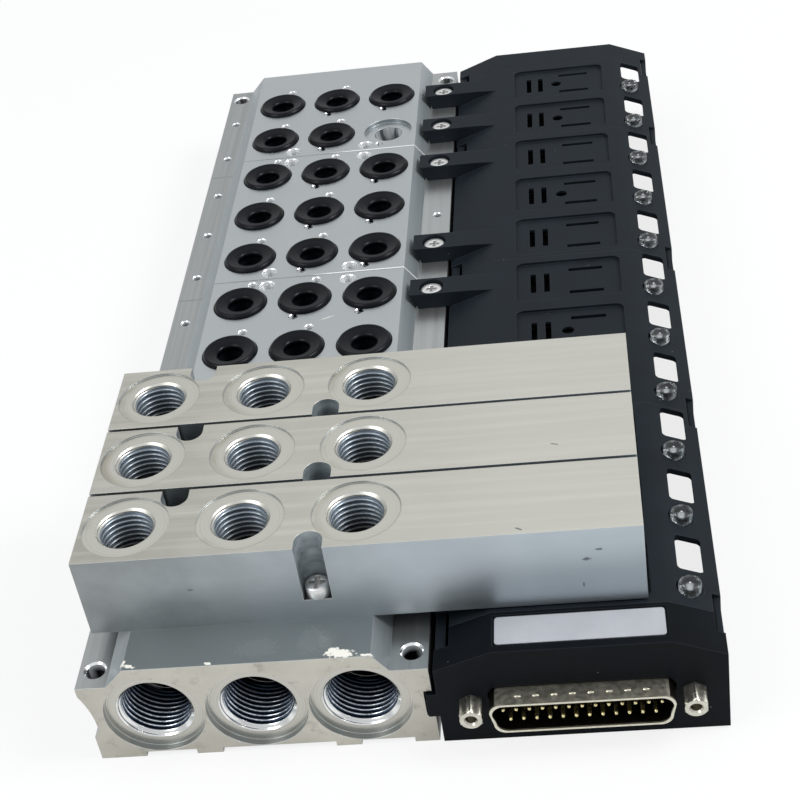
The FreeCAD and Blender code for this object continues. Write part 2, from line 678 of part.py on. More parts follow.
def make_arm(body, position):
    """An arm that reaches over the manifold's flange, with a sunk screw hole."""
    name = f"{body.Name}_arm_{position}"
    middle = f"({position_y(position)} + arm_shift)"
    seat = "(flange_height + arm_seat_gap)"
    points = [
        ("arm_foot", seat), ("cover_left + cover_wall", seat), ("plateau_left", "cover_top - cover_wall / 2"),
        ("plateau_left", "cover_top"), ("arm_flat", "arm_top"), ("arm_tip", "arm_top"),
    ]
    section = outline(body, f"{name}_section", "XZ", f"{middle} - arm_wide / 2", points)
    pad(body, name, section, "arm_wide")
    bore = circles(body, f"{name}_bore", "XY", "arm_top", [("arm_hole_x", arm_hole_y(position), "arm_bore")])
    pocket(body, f"{name}_bore_cut", bore, "arm_sink")
    hole = circles(body, f"{name}_hole", "XY", "arm_top - arm_sink",
                   [("arm_hole_x", arm_hole_y(position), "screw_clear")])
    pocket(body, f"{name}_hole_cut", hole, "arm_top - arm_sink - flange_height")


def pocket_features(body, first):
    """The recessed field of one position with its contact slots and vents."""
    name = body.Name
    y = f"({position_y(first)} + pocket_shift)"
    floor = "(cover_top - pocket_deep)"
    points, arcs = rounded_box("pocket_x", y, "pocket_wide", "pocket_long", "pocket_corner")
    field = outline(body, f"{name}_field", "XY", "cover_top", points, arcs)
    slots = new_sketch(body, f"{name}_slots", "XY", floor)
    for step in (0, 1):
        x = f"contact_slot_x + {step} * contact_slot_pitch"
        add_outline(slots, box_points(f"{x} - contact_slot_wide / 2", f"{x} + contact_slot_wide / 2",
                                      f"{y} - contact_slot_long / 2", f"{y} + contact_slot_long / 2"), {})
    for side in (-1, 1):
        middle = f"{y} + {side} * vent_half"
        add_outline(slots, box_points("vent_x - vent_wide / 2", "vent_x + vent_wide / 2",
                                      f"{middle} - vent_long / 2", f"{middle} + vent_long / 2"), {})
    return [
        pocket(body, f"{name}_field_cut", field, "pocket_deep"),
        pocket(body, f"{name}_slot_cut", slots, "cover_wall"),
    ]


def window_features(body, first):
    """The window in the slope, and the seat and bore of the light guide beside it."""
    name = body.Name
    y = position_y(first)
    points, arcs = rounded_box("window_x", f"({y} - window_near + window_long / 2)", "window_wide",
                               "window_long", "window_corner")
    window = outline(body, f"{name}_window", "XY", "cover_top", points, arcs)
    lens_y = f"({y} - lens_shift)"
    boss = circles(body, f"{name}_lens_boss", "XY", "lens_seat - cover_wall", [("lens_x", lens_y, "lens_boss")])
    seat = circles(body, f"{name}_lens_seat", "XY", "cover_top", [("lens_x", lens_y, "lens_boss")])
    bore = circles(body, f"{name}_lens_bore", "XY", "lens_seat",
                   [("lens_x", lens_y, "guide_stem + 2 * guide_hole_gap")])
    gate = outline(body, f"{name}_gate", "XY", "guide_low + guide_bar_high + guide_hole_gap", box_points(
        "inner_wall - 0.5", "inner_wall + cover_wall + 0.5",
        f"{lens_y} - guide_bar_wide / 2 - guide_hole_gap", f"{lens_y} + guide_bar_wide / 2 + guide_hole_gap"))
    return [
        pad(body, f"{name}_lens_pad", boss, "cover_wall"),
        pocket(body, f"{name}_window_cut", window, "cover_top - guide_low"),
        pocket(body, f"{name}_seat_cut", seat, "cover_top - lens_seat"),
        pocket(body, f"{name}_bore_cut", bore, "2 * cover_wall"),
        pocket(body, f"{name}_gate_cut", gate, "guide_bar_high + 2 * guide_hole_gap"),
    ]


def board_bosses(body, near, far):
    top = "(cover_top - cover_wall / 2)"
    low = "(board_low + board_thick)"
    holes = [(x, y, "board_boss") for x in ("board_boss_left", "board_boss_right")
             for y in (f"{near} + board_boss_inset", f"{far} - board_boss_inset")]
    bosses = circles(body, f"{body.Name}_boss_plan", "XY", low, holes)
    pad(body, f"{body.Name}_bosses", bosses, f"{top} - pocket_deep - {low}")
    cores = [(x, y, "board_screw + running_gap") for x, y, width in holes]
    sketch = circles(body, f"{body.Name}_boss_cores", "XY", low, cores)
    pocket(body, f"{body.Name}_core_cut", sketch, "board_screw_long - board_thick", True)


def make_cover(module):
    body = new_body(f"cover_module_{module + 1}")
    near, far = cover_span(module)
    section = outline(body, f"{body.Name}_section", "XZ", near, shell_points())
    pad(body, f"{body.Name}_shell", section, f"{far} - {near}")
    board_bosses(body, near, far)
    positions = module_positions(module)
    features = pocket_features(body, positions[0]) + window_features(body, positions[0])
    repeat_along(body, f"{body.Name}_positions", features, len(positions))
    for position in positions:
        if position in OVERRIDE_POSITIONS:
            y = f"{position_y(position)} + pocket_shift"
            hole = circles(body, f"{body.Name}_override_{position}", "XY", "cover_top - pocket_deep",
                           [("override_x", y, "override")])
            pocket(body, f"{body.Name}_override_cut_{position}", hole, "cover_wall")
    clip_notches(body, f"{body.Name}_near", near, 1)
    clip_notches(body, f"{body.Name}_far", far, -1)
    for position in positions:
        if position in ARM_POSITIONS:
            make_arm(body, position)


def dsub_points(grow):
    """The D outline round the connector's centre, wider at its top."""
    half_top, half_low = f"(dsub_wide / 2 + {grow})", f"(dsub_wide / 2 - dsub_lean + {grow})"
    half_high = f"(dsub_high / 2 + {grow})"
    corner = "dsub_corner"
    x, z = "dsub_x", "dsub_height"
    points = [
        (f"{x} - {half_low} + {corner}", f"{z} - {half_high}"), (f"{x} + {half_low} - {corner}", f"{z} - {half_high}"),
        (f"{x} + {half_low}", f"{z} - {half_high} + {corner}"), (f"{x} + {half_top}", f"{z} + {half_high} - {corner}"),
        (f"{x} + {half_top} - {corner}", f"{z} + {half_high}"), (f"{x} - {half_top} + {corner}", f"{z} + {half_high}"),
        (f"{x} - {half_top}", f"{z} + {half_high} - {corner}"), (f"{x} - {half_low}", f"{z} - {half_high} + {corner}"),
    ]
    return points, {side: (corner, True) for side in (1, 3, 5, 7)}


def make_near_cap():
    body = new_body("near_end_cap")
    name = body.Name
    section = outline(body, f"{name}_section", "XZ", "-cap_proud", shell_points())
    pad(body, f"{name}_shell", section, "end_margin + cap_proud")
    skin = shell_points()[11:16]
    face = outline(body, f"{name}_face_plan", "XZ", "-cap_proud",
                   [("cover_left", "cover_bottom")] + skin)
    pad(body, f"{name}_face", face, "cap_wall")
    points, arcs = dsub_points("dsub_gap")
    mouth = outline(body, f"{name}_mouth", "XZ", "-cap_proud", points, arcs)
    pocket(body, f"{name}_mouth_cut", mouth, "cap_wall")
    studs = [(f"dsub_x + {side} * jack_pitch / 2", "dsub_height", "jack_stud + 2 * running_gap")
             for side in (-1, 1)]
    pocket(body, f"{name}_stud_cut", circles(body, f"{name}_studs", "XZ", "-cap_proud", studs), "cap_wall")
    seat = outline(body, f"{name}_flange_seat", "XZ", "cap_wall - cap_proud", box_points(
        "dsub_x - dsub_flange_wide / 2 - dsub_gap", "dsub_x + dsub_flange_wide / 2 + dsub_gap",
        "dsub_height - dsub_flange_high / 2 - dsub_gap", "dsub_height + dsub_flange_high / 2 + dsub_gap"))
    pocket(body, f"{name}_flange_seat_cut", seat, "dsub_sheet + running_gap")
    label = outline(body, f"{name}_label_plan", "XY", "cover_top", box_points(
        "label_left - label_edge", "label_left + label_wide + label_edge",
        "label_near - label_edge", "label_near + label_long + label_edge"))
    pocket(body, f"{name}_label_cut", label, "label_recess")
    clip_notches(body, name, "end_margin", -1)


def make_far_cap():
    body = new_body("far_end_cap")
    name = body.Name
    near = seam_y(len(MODULES) - 1)
    section = outline(body, f"{name}_section", "XZ", near, shell_points())
    pad(body, f"{name}_shell", section, f"{FULL_LENGTH} - {near}")
    skin = shell_points()[11:16]
    face = outline(body, f"{name}_face_plan", "XZ", f"{FULL_LENGTH} - cap_wall",
                   [("cover_left", "cover_bottom")] + skin)
    pad(body, f"{name}_face", face, "cap_wall")
    arch = outline(body, f"{name}_arch", "XZ", f"{FULL_LENGTH} - cap_wall", box_points(
        "inner_wall + cover_wall", "cover_right - cover_wall", "cover_bottom - 1", "arch_high"))
    pocket(body, f"{name}_arch_cut", arch, "cap_wall")
    clip_notches(body, name, near, 1)


def make_bottom_plate(module):
    body = new_body(f"bottom_plate_{module + 1}")
    near, far = cover_span(module)
    if module == 0:
        near = "(cap_wall - cap_proud)"
    if module + 1 == len(MODULES):
        far = f"({FULL_LENGTH} - cap_wall)"
    left, right = "cover_left + cover_wall + plate_gap", "inner_wall - plate_gap"
    low, high = f"{near} + plate_gap", f"{far} - plate_gap"
    plan = outline(body, f"{body.Name}_plan", "XY", "cover_bottom", box_points(left, right, low, high))
    pad(body, f"{body.Name}_sheet", plan, "plate_thick")
    inner = box_points(f"{left} + plate_rib", f"{right} - plate_rib", f"{low} + plate_rib", f"{high} - plate_rib")
    rim = outline(body, f"{body.Name}_rim_plan", "XY", "cover_bottom + plate_thick",
                  box_points(left, right, low, high))
    add_outline(rim, inner, {})
    pad(body, f"{body.Name}_rim", rim, "plate_rib_high")


# Light guides, boards and clips

def make_light_guides():
    guides, leds = [], []
    for position in range(1, POSITIONS + 1):
        y = f"({position_y(position)} - lens_shift)"
        head = cylinder(f"lens_head_{position}", "lens", "lens_high - lens_round", "lens_x", y, "lens_seat")
        crown = doc.addObject("Part::Cone", f"lens_crown_{position}")
        bind(crown, "Radius1", "lens / 2")
        bind(crown, "Radius2", "lens / 2 - lens_round")
        bind(crown, "Height", "lens_round")
        place_at(crown, "lens_x", y, "lens_seat + lens_high - lens_round")
        stem = cylinder(f"lens_stem_{position}", "guide_stem", "lens_seat - guide_low", "lens_x", y, "guide_low")
        bar = box(f"guide_bar_{position}", "lens_x - guide_end", "guide_bar_wide", "guide_bar_high",
                  "guide_end", f"{y} - guide_bar_wide / 2", "guide_low")
        guides.append(fuse(f"light_guide_{position}", [head, crown, stem, bar]))
        leds.append(box(f"led_{position}", "led_wide", "led_long", "led_high",
                        "guide_end - running_gap - led_wide", f"{y} - led_long / 2", "board_low + board_thick"))
    group("light_guides", guides)
    group("status_lamps", leds)


def make_board(module):
    body = new_body(f"circuit_board_{module + 1}")
    near, far = cover_span(module)
    plan = outline(body, f"{body.Name}_plan", "XY", "board_low", box_points(
        "board_left", "board_right", f"{near} + board_edge", f"{far} - board_edge"))
    pad(body, f"{body.Name}_sheet", plan, "board_thick")
    holes = [(x, y, "board_screw + 2 * running_gap") for x in ("board_boss_left", "board_boss_right")
             for y in (f"{near} + board_boss_inset", f"{far} - board_boss_inset")]
    sketch = circles(body, f"{body.Name}_holes", "XY", "board_low + board_thick", holes)
    pocket(body, f"{body.Name}_hole_cut", sketch, "board_thick")


def make_board_screws():
    screws = []
    for module in range(len(MODULES)):
        near, far = cover_span(module)
        for x in ("board_boss_left", "board_boss_right"):
            for end, y in (("near", f"{near} + board_boss_inset"), ("far", f"{far} - board_boss_inset")):
                name = f"board_screw_{module}_{x[-4:].strip('_')}_{end}"
                head = cylinder(f"{name}_head", "board_screw_head", "board_screw_high", x, y,
                                "board_low - board_screw_high")
                stem = cylinder(f"{name}_stem", "board_screw", "board_screw_long - running_gap", x, y, "board_low")
                screws.append(fuse(name, [head, stem]))
    group("board_screws", screws)


def make_coil_sockets():
    """One contact socket per position on the board, under the slots of the housing."""
    sockets = []
    floor = "(board_low + board_thick)"
    ceiling = "(cover_top - pocket_deep - cover_wall - running_gap)"
    for position in range(1, POSITIONS + 1):
        y = f"({position_y(position)} + pocket_shift)"
        block = box(f"socket_block_{position}", "socket_wide", "socket_long", f"{ceiling} - {floor}",
                    "socket_left", f"{y} - socket_long / 2", floor)
        slots = [box(f"socket_slot_{position}_{step}", "contact_slot_wide", "contact_slot_long", "2",
                     f"contact_slot_x + {step} * contact_slot_pitch - contact_slot_wide / 2",
                     f"{y} - contact_slot_long / 2", f"{ceiling} - 2") for step in (0, 1)]
        sockets.append(cut(f"coil_socket_{position}", block, fuse(f"socket_slots_{position}", slots)))
    group("coil_sockets", sockets)


def make_board_links():
    """Connectors that bridge one board to the next, hung under both."""
    links = []
    for module in range(len(MODULES) - 1):
        links.append(box(f"board_link_{module}", "link_wide", "link_long", "link_high",
                         "link_x - link_wide / 2", f"{seam_y(module)} - link_long / 2",
                         "board_low - link_high"))
    group("board_links", links)


def make_side_clips():
    clips = []
    for seam in ["end_margin"] + [seam_y(module) for module in range(len(MODULES))]:
        place = len(clips)
        clips.append(box(f"right_clip_{place}", "clip_right_wide - 2 * clip_gap",
                         "2 * clip_half - 2 * clip_gap", "cover_side - clip_floor - clip_gap",
                         "cover_right - clip_right_wide + clip_gap", f"{seam} - clip_half + clip_gap",
                         "clip_floor"))
        clips.append(box(f"left_clip_{place}", "clip_left_thick", "2 * clip_half - 2 * clip_gap",
                         "cover_side - clip_left_floor", "cover_left + clip_gap",
                         f"{seam} - clip_half + clip_gap", "clip_left_floor"))
    group("side_clips", clips)


# Arm screws

def make_arm_screws():
    screws = [screw(f"arm_screw_{position}", "arm_head", "arm_head_high", "arm_screw_long", "arm_hole_x",
                    arm_hole_y(position), "arm_top - arm_sink")
              for position in ARM_POSITIONS]
    group("arm_screws", screws)


# Multipole connector

def make_connector():
    front, wall_back = "(-cap_proud - dsub_reach)", "(cap_wall - cap_proud)"
    shell = new_body("connector_shell")
    outer, arcs = dsub_points("0")
    tube = outline(shell, "connector_shell_tube", "XZ", front, outer, arcs)
    pad(shell, "connector_shell_outer", tube, f"{wall_back} - {front}")
    plate = outline(shell, "connector_shell_plate", "XZ", wall_back, box_points(
        "dsub_x - dsub_flange_wide / 2", "dsub_x + dsub_flange_wide / 2",
        "dsub_height - dsub_flange_high / 2", "dsub_height + dsub_flange_high / 2"))
    pad(shell, "connector_shell_flange", plate, "dsub_sheet")
    inner, inner_arcs = dsub_points("(-dsub_sheet)")
    inner_arcs = {side: ("dsub_corner", True) for side in inner_arcs}
    hollow = outline(shell, "connector_shell_hollow", "XZ", front, inner, inner_arcs)
    pocket(shell, "connector_shell_hollow_cut", hollow)
    studs = [(f"dsub_x + {side} * jack_pitch / 2", "dsub_height", "jack_stud + 2 * running_gap")
             for side in (-1, 1)]
    pocket(shell, "connector_shell_studs", circles(shell, "connector_shell_stud_plan", "XZ", wall_back, studs))
    core = new_body("connector_insulator")
    points, core_arcs = dsub_points("(-dsub_sheet - running_gap / 2)")
    front_face = f"({wall_back} - insulator_front)"
    block = outline(core, "connector_insulator_plan", "XZ", front_face, points, core_arcs)
    pad(core, "connector_insulator_block", block, "insulator_front + insulator_back")
    holes = [(x, z, "pin + running_gap / 2") for x, z in pin_places()]
    pocket(core, "connector_insulator_holes", circles(core, "connector_insulator_hole_plan", "XZ",
                                                      front_face, holes))
    tip = f"({front} + pin_behind)"
    pins = [cylinder(f"connector_pin_{place}", "pin", f"pin_tail - {tip}", x, tip, z, True)
            for place, (x, z) in enumerate(pin_places(), 1)]
    group("connector_pins", pins)


def pin_places():
    """Thirteen pins above and twelve between them below."""
    upper = [(f"dsub_x + pin_pitch * {step - 6}", "dsub_height + pin_rows / 2") for step in range(13)]
    lower = [(f"dsub_x + pin_pitch * {step - 5.5}", "dsub_height - pin_rows / 2") for step in range(12)]
    return upper + lower


def make_jack_screws():
    screws = []
    for side in (-1, 1):
        x, y = f"dsub_x + {side} * jack_pitch / 2", "(-cap_proud - jack_high)"
        name = f"jack_screw_{'left' if side < 0 else 'right'}"
        head = prism(f"{name}_hex", 6, "jack_flats", "jack_high", x, y, "dsub_height", True)
        stud = cylinder(f"{name}_stud", "jack_stud", "jack_high + jack_tail", x, y, "dsub_height", True)
        hole = cylinder(f"{name}_hole", "jack_hole", "jack_hole_deep", x, y, "dsub_height", True)
        screws.append(cut(name, fuse(f"{name}_blank", [head, stud]), hole))
    group("connector_jack_screws", screws)


def make_connector_board():
    body = new_body("connector_board")
    plan = outline(body, "connector_board_plan", "XZ", "wire_board_y", box_points(
        "wire_board_left", "wire_board_right", "wire_board_low", "wire_board_high"))
    pad(body, "connector_board_sheet", plan, "board_thick")
    holes = [(x, z, "pin + running_gap / 2") for x, z in pin_places()]
    pocket(body, "connector_board_holes", circles(body, "connector_board_hole_plan", "XZ",
                                                  "wire_board_y", holes))


def make_label():
    body = new_body("label_plate")
    points, arcs = rounded_box("(label_left + label_wide / 2)", "(label_near + label_long / 2)",
                               "label_wide", "label_long", "label_corner")
    plan = outline(body, "label_plate_plan", "XY", "cover_top - label_recess", points, arcs)
    pad(body, "label_plate_sheet", plan, "label_thick")


def parts():
    labels = {item.Label for item in doc.Objects if item.TypeId == "PartDesign::Body"}
    labels |= {item.Label for item in doc.Objects if item.TypeId == "Part::Compound"}
    return [item for item in doc.Objects if item.Label in labels and item.TypeId in
            ("PartDesign::Body", "Part::Compound")]


def check_model():
    """Stops on a failed object, an empty or invalid shape, or a cut that removes nothing."""
    for item in doc.Objects:
        if {"Invalid", "Error"} & set(item.State):
            raise ValueError(f"{item.Name} failed: {item.State}")
        if item.TypeId == "PartDesign::Pocket":
            before, after = item.BaseFeature.Shape.Volume, item.Shape.Volume
            if not after < before:
                raise ValueError(f"{item.Name} cuts nothing")
    for item in parts():
        if item.Shape.isNull() or not item.Shape.isValid():
            raise ValueError(f"{item.Label} has no valid shape")


for module_number in range(len(MODULES)):
    make_manifold(module_number)
    make_cover(module_number)
    make_bottom_plate(module_number)
    make_board(module_number)
for block_number, block_position in enumerate(BLOCK_POSITIONS, 1):
    make_supply_block(block_number, block_position)
make_joint_pieces()
make_far_plugs()
make_seals()
make_block_screws()
make_near_cap()
make_far_cap()
make_light_guides()
make_board_screws()
make_coil_sockets()
make_board_links()
make_side_clips()
make_arm_screws()
make_connector()
make_jack_screws()
make_connector_board()
make_label()
for item in parts():
    bind(item, "Placement.Base.y", f"-{FULL_LENGTH} / 2")
doc.recompute()
check_model()

os.makedirs("parts", exist_ok=True)
for item in parts():
    item.Shape.exportStep(f"parts/{item.Label}.step")
    solids = len(item.Shape.Solids)
    print(f"{item.Label}: {solids} solids, {item.Shape.Volume:.0f} mm3")
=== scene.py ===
import json
import math
from functools import reduce

import bmesh
import bpy
from mathutils import Matrix, Vector


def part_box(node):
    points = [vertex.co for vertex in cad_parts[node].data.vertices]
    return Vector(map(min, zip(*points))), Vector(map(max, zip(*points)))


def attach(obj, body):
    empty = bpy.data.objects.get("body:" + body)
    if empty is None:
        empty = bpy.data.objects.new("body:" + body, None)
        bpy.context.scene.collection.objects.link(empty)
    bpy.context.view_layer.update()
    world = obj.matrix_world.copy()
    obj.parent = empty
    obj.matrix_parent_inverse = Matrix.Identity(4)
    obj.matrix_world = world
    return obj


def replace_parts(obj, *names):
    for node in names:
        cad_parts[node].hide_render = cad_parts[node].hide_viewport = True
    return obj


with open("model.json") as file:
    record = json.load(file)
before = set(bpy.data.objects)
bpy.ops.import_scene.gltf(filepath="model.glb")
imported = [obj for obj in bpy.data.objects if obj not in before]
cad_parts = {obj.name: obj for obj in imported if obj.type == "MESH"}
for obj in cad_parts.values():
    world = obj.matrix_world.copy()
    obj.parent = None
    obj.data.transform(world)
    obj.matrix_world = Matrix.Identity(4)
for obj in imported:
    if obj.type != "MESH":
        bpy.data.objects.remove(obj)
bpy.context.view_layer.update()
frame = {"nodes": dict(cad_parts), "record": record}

MM = 0.001
NODES = frame["nodes"]
MOUNTS = {mount["name"]: mount for mount in frame["record"]["mounts"]}

# Sizes of the island that the finish needs, in millimetres
POSITION_PITCH = 23.0
MODULE_LONG = 69.0
FIRST_SEAM = 11.5
BLOCKS_END = -100.0
ROW_HALF = 134.0
DECK = 27.0
DECK_HALF = 26.8
FLANGE = 22.2
FLANGE_FROM = 30.2
FLANGE_BORES = 36.7
BLOCK_TOP = 47.5
END_PORT_PITCH = 22.8
END_PORT_HEIGHT = 12.8
END_FACE_RADIUS = 11.2
BLOCK_PORT_PITCH = 25.3
BLOCK_FACE_RADIUS = 9.7
THREAD_PITCH = 1.337
THREAD_DEPTH = 0.856
END_LEAD = 1.1
BLOCK_LEAD = 0.9
THREAD_DEEP = 13.0
JACK_FLATS = 4.8
JACK_LONG = 5.0
JACK_BORE = 2.3
JACK_STUD = 1.4
DSUB_TOP = 15.98
DSUB_MIDDLE = 11.8
DSUB_INNER = 3.8
DSUB_DIMPLES = 8
DIMPLES_AT = -141.0
DIMPLE_HALF = (0.75, 0.4, 0.3)
DIMPLE_FIRST = 56.7
DIMPLE_PITCH = 3.83
SEAT_PITCH = 18.0
SEAT_ROOM = 7.72
SEAT_DEEP = 1.4
LENS_RADIUS = 2.5
LENS_HIGH = 2.3
LENS_SEAT = 24.1
LENS_DISH = 0.16
GUIDE_LOW = 21.0

# Positions from the first to the one whose right seat is open
OPEN_POSITION = 9

# Corners sharper than these angles stay sharp, in degrees
DRESSED_CORNER = 30.0
JACK_CORNER = 28.0

# An arm of a screw's cross is this share of the cross
CROSS_ARM = 0.26

# Marks as the middle, the half sizes and the turn, in millimetres and radians
DECK_MARKS = (
    ((20.4, -136.2, 27), (3.3, 1.3, 2), 0.05), ((18.6, -135.3, 27), (1.6, 1.0, 2), -0.5),
    ((26.0, -137.1, 27), (1.8, 0.35, 2), 0.02), ((-25.4, -136.3, 27), (1.3, 0.6, 2), 0.3),
    ((-27.0, -135.3, 27), (0.7, 0.9, 2), 0.0), ((-8.2, -136.8, 27), (0.9, 0.45, 2), 0.1),
    ((7.2, -10.1, 27), (2.3, 0.12, 0.5), -0.42))
DECK_RUBS = (((14.0, -131.8, 27), (3.4, 4.2, 2), 0.2), ((2.0, -133.0, 27), (5.0, 3.0, 2), 0.0))
BLOCK_NICKS = (
    ((73.4, -125.5, 39.3), (0.9, 2, 0.5), 0.0), ((76.3, -125.5, 41.8), (1.0, 2, 0.35), 0.0),
    ((72.3, -125.5, 32.2), (0.25, 2, 0.8), 0.0), ((-11.3, -125.5, 37.9), (0.8, 2, 0.3), 0.0),
    ((60.0, -124.0, 47.5), (0.9, 0.3, 2), 0.6), ((68.0, -97.0, 47.5), (1.1, 0.25, 2), 0.3))

# Outlines as (radius, height) from the lower end of the axis, outward and up to its upper end
SEAL_OUTLINE = (
    (3.3, -1.2), (7.25, -1.2), (7.35, -1.05), (7.35, 0.0), (7.22, 0.35), (6.98, 0.75), (6.8, 0.98),
    (6.55, 1.08), (6.28, 1.03), (5.9, 0.84), (5.2, 0.7), (4.4, 0.5), (3.85, 0.28), (3.45, -0.02),
    (3.3, -0.4), (3.3, -1.2))
LENS_OUTLINE = (
    (0.0, GUIDE_LOW - LENS_SEAT), (1.5, GUIDE_LOW - LENS_SEAT), (1.5, 0.0), (LENS_RADIUS, 0.0),
    (LENS_RADIUS, LENS_HIGH - 0.35), (2.36, LENS_HIGH - 0.1), (2.15, LENS_HIGH), (1.95, LENS_HIGH),
    (1.8, LENS_HIGH - 0.1), (1.55, LENS_HIGH - LENS_DISH), (0.0, LENS_HIGH - LENS_DISH))
GATE_OUTLINE = ((0.0, -0.05), (0.3, -0.05), (0.27, 0.03), (0.15, 0.08), (0.0, 0.09))


# Node trees

def node(tree, kind, fields=None, **inputs):
    """Adds a node, sets its fields and feeds its inputs: i0 is the first one, Some_Name is one by name."""
    made = tree.nodes.new(kind)
    for field, value in (fields or {}).items():
        setattr(made, field, value)
    for key, value in inputs.items():
        numbered = key[0] == "i" and key[1:].isdigit()
        feed(tree, made, int(key[1:]) if numbered else key.replace("_", " "), value)
    return made


def feed(tree, target, key, value):
    """Gives an input a value, or links it to another node or to one of its outputs."""
    entry = target.inputs[key]
    if isinstance(value, bpy.types.NodeSocket):
        tree.links.new(value, entry)
    elif isinstance(value, bpy.types.Node):
        tree.links.new(value.outputs[0], entry)
    else:
        entry.default_value = value


def operate(tree, kind, operation, values):
    made = tree.nodes.new(kind)
    made.operation = operation
    for place, value in enumerate(values):
        feed(tree, made, place, value)
    return made.outputs


def maths(tree, operation, *values):
    return operate(tree, "ShaderNodeMath", operation, values)[0]


def vectors(tree, operation, *values):
    made = operate(tree, "ShaderNodeVectorMath", operation, values)
    return made["Value" if operation in ("DOT_PRODUCT", "LENGTH") else "Vector"]


def parts_of(tree, vector):
    return node(tree, "ShaderNodeSeparateXYZ", i0=vector).outputs


def ramp(tree, value, low, high, to_low=0.0, to_high=1.0):
    """Maps a value from one range to another and keeps it inside."""
    return node(tree, "ShaderNodeMapRange", {"clamp": True}, i0=value, i1=low, i2=high, i3=to_low,
                i4=to_high).outputs[0]


def noise(tree, place, scale=1.0, detail=3.0, roughness=0.5):
    return node(tree, "ShaderNodeTexNoise", Vector=place, Scale=scale, Detail=detail,
                Roughness=roughness).outputs[0]


# Geometry trees for turned pieces and threads

def new_geometry_tree(name, sizes):
    """A geometry tree with points in, a mesh out and one named input per size."""
    tree = bpy.data.node_groups.new(name, "GeometryNodeTree")
    tree.interface.new_socket("Points", in_out="INPUT", socket_type="NodeSocketGeometry")
    for label, value in sizes.items():
        kind = {int: "NodeSocketInt", float: "NodeSocketFloat"}.get(type(value), "NodeSocketVector")
        made = tree.interface.new_socket(label, in_out="INPUT", socket_type=kind)
        made.default_value = value
    tree.interface.new_socket("Finish", in_out="INPUT", socket_type="NodeSocketMaterial")
    tree.interface.new_socket("Piece", in_out="OUTPUT", socket_type="NodeSocketGeometry")
    return tree, tree.nodes.new("NodeGroupInput").outputs


def finish_geometry_tree(tree, entry, mesh):
    """Sets the made mesh on every point, turned as asked, and closes the tree."""
    placed = node(tree, "GeometryNodeInstanceOnPoints", Points=entry["Points"], Instance=mesh,
                  Rotation=entry["Turn"])
    real = node(tree, "GeometryNodeRealizeInstances", i0=placed)
    finished = node(tree, "GeometryNodeSetMaterial", Geometry=real, Material=entry["Finish"])
    node(tree, "NodeGroupOutput", Piece=finished)
    return tree


def lathe_grid(tree, around, along):
    """A grid whose two directions become the angle and the way along the outline."""
    grid = node(tree, "GeometryNodeMeshGrid", Size_X=1.0, Size_Y=1.0, Vertices_X=around, Vertices_Y=along)
    place = parts_of(tree, tree.nodes.new("GeometryNodeInputPosition"))
    angle = maths(tree, "MULTIPLY", maths(tree, "ADD", place[0], 0.5), math.tau)
    way = maths(tree, "ADD", place[1], 0.5)
    return grid.outputs[0], angle, way


def wrap_grid(tree, grid, angle, radius, height):
    """Bends the grid round the axis, closes its seam and shades it smooth."""
    across = maths(tree, "MULTIPLY", radius, maths(tree, "COSINE", angle))
    beside = maths(tree, "MULTIPLY", radius, maths(tree, "SINE", angle))
    place = node(tree, "ShaderNodeCombineXYZ", i0=across, i1=beside, i2=height)
    bent = node(tree, "GeometryNodeSetPosition", Geometry=grid, Position=place)
    closed = node(tree, "GeometryNodeMergeByDistance", Geometry=bent, Distance=1e-6)
    return node(tree, "GeometryNodeSetShadeSmooth", Geometry=closed).outputs[0]


def curve_through(tree, way, values):
    """A straight-sided curve through evenly spaced values."""
    low, high = min(values), max(values)
    span = (high - low) or 1.0
    made = tree.nodes.new("ShaderNodeFloatCurve")
    curve = made.mapping.curves[0]
    last = len(values) - 1
    for place, value in enumerate(values):
        corner = (place / last, (value - low) / span)
        if place in (0, last):
            curve.points[0 if place == 0 else len(curve.points) - 1].location = corner
        else:
            curve.points.new(*corner)
    for point in curve.points:
        point.handle_type = "VECTOR"
    made.mapping.update()
    feed(tree, made, "Value", way)
    return maths(tree, "ADD", maths(tree, "MULTIPLY", made.outputs[0], span), low)


def turned_tree(name, outline, crossed=False):
    """A piece turned from an outline in millimetres, with a cross recess on top where asked."""
    tree, entry = new_geometry_tree(
        name, {"Turn": Vector(), "Around": 32, "Recess": 1.0, "Recess Deep": 1.0})
    grid, angle, way = lathe_grid(tree, maths(tree, "ADD", entry["Around"], 1.0), len(outline))
    radii, heights = zip(*outline)
    radius = maths(tree, "MULTIPLY", curve_through(tree, way, radii), MM)
    height = maths(tree, "MULTIPLY", curve_through(tree, way, heights), MM)
    mesh = wrap_grid(tree, grid, angle, radius, height)
    if crossed:
        mesh = cut_cross(tree, entry, mesh, max(heights) * MM)
    return finish_geometry_tree(tree, entry, mesh)


def cut_cross(tree, entry, mesh, top):
    """Cuts a cross recess into the top of a turned head."""
    wide = maths(tree, "MULTIPLY", entry["Recess"], MM)
    narrow = maths(tree, "MULTIPLY", wide, CROSS_ARM)
    both_ways = maths(tree, "MULTIPLY", maths(tree, "MULTIPLY", entry["Recess Deep"], MM), 2.0)
    joined = tree.nodes.new("GeometryNodeJoinGeometry")
    for sides in ((wide, narrow), (narrow, wide)):
        size = node(tree, "ShaderNodeCombineXYZ", i0=sides[0], i1=sides[1], i2=both_ways)
        bar = node(tree, "GeometryNodeMeshCube", Size=size)
        tree.links.new(bar.outputs[0], joined.inputs[0])
    lifted = node(tree, "GeometryNodeTransform", Geometry=joined, Translation=Vector((0, 0, top)))
    return node(tree, "GeometryNodeMeshBoolean", {"operation": "DIFFERENCE", "solver": "EXACT"}, i0=mesh,
                i1=lifted, Self_Intersection=True).outputs[0]


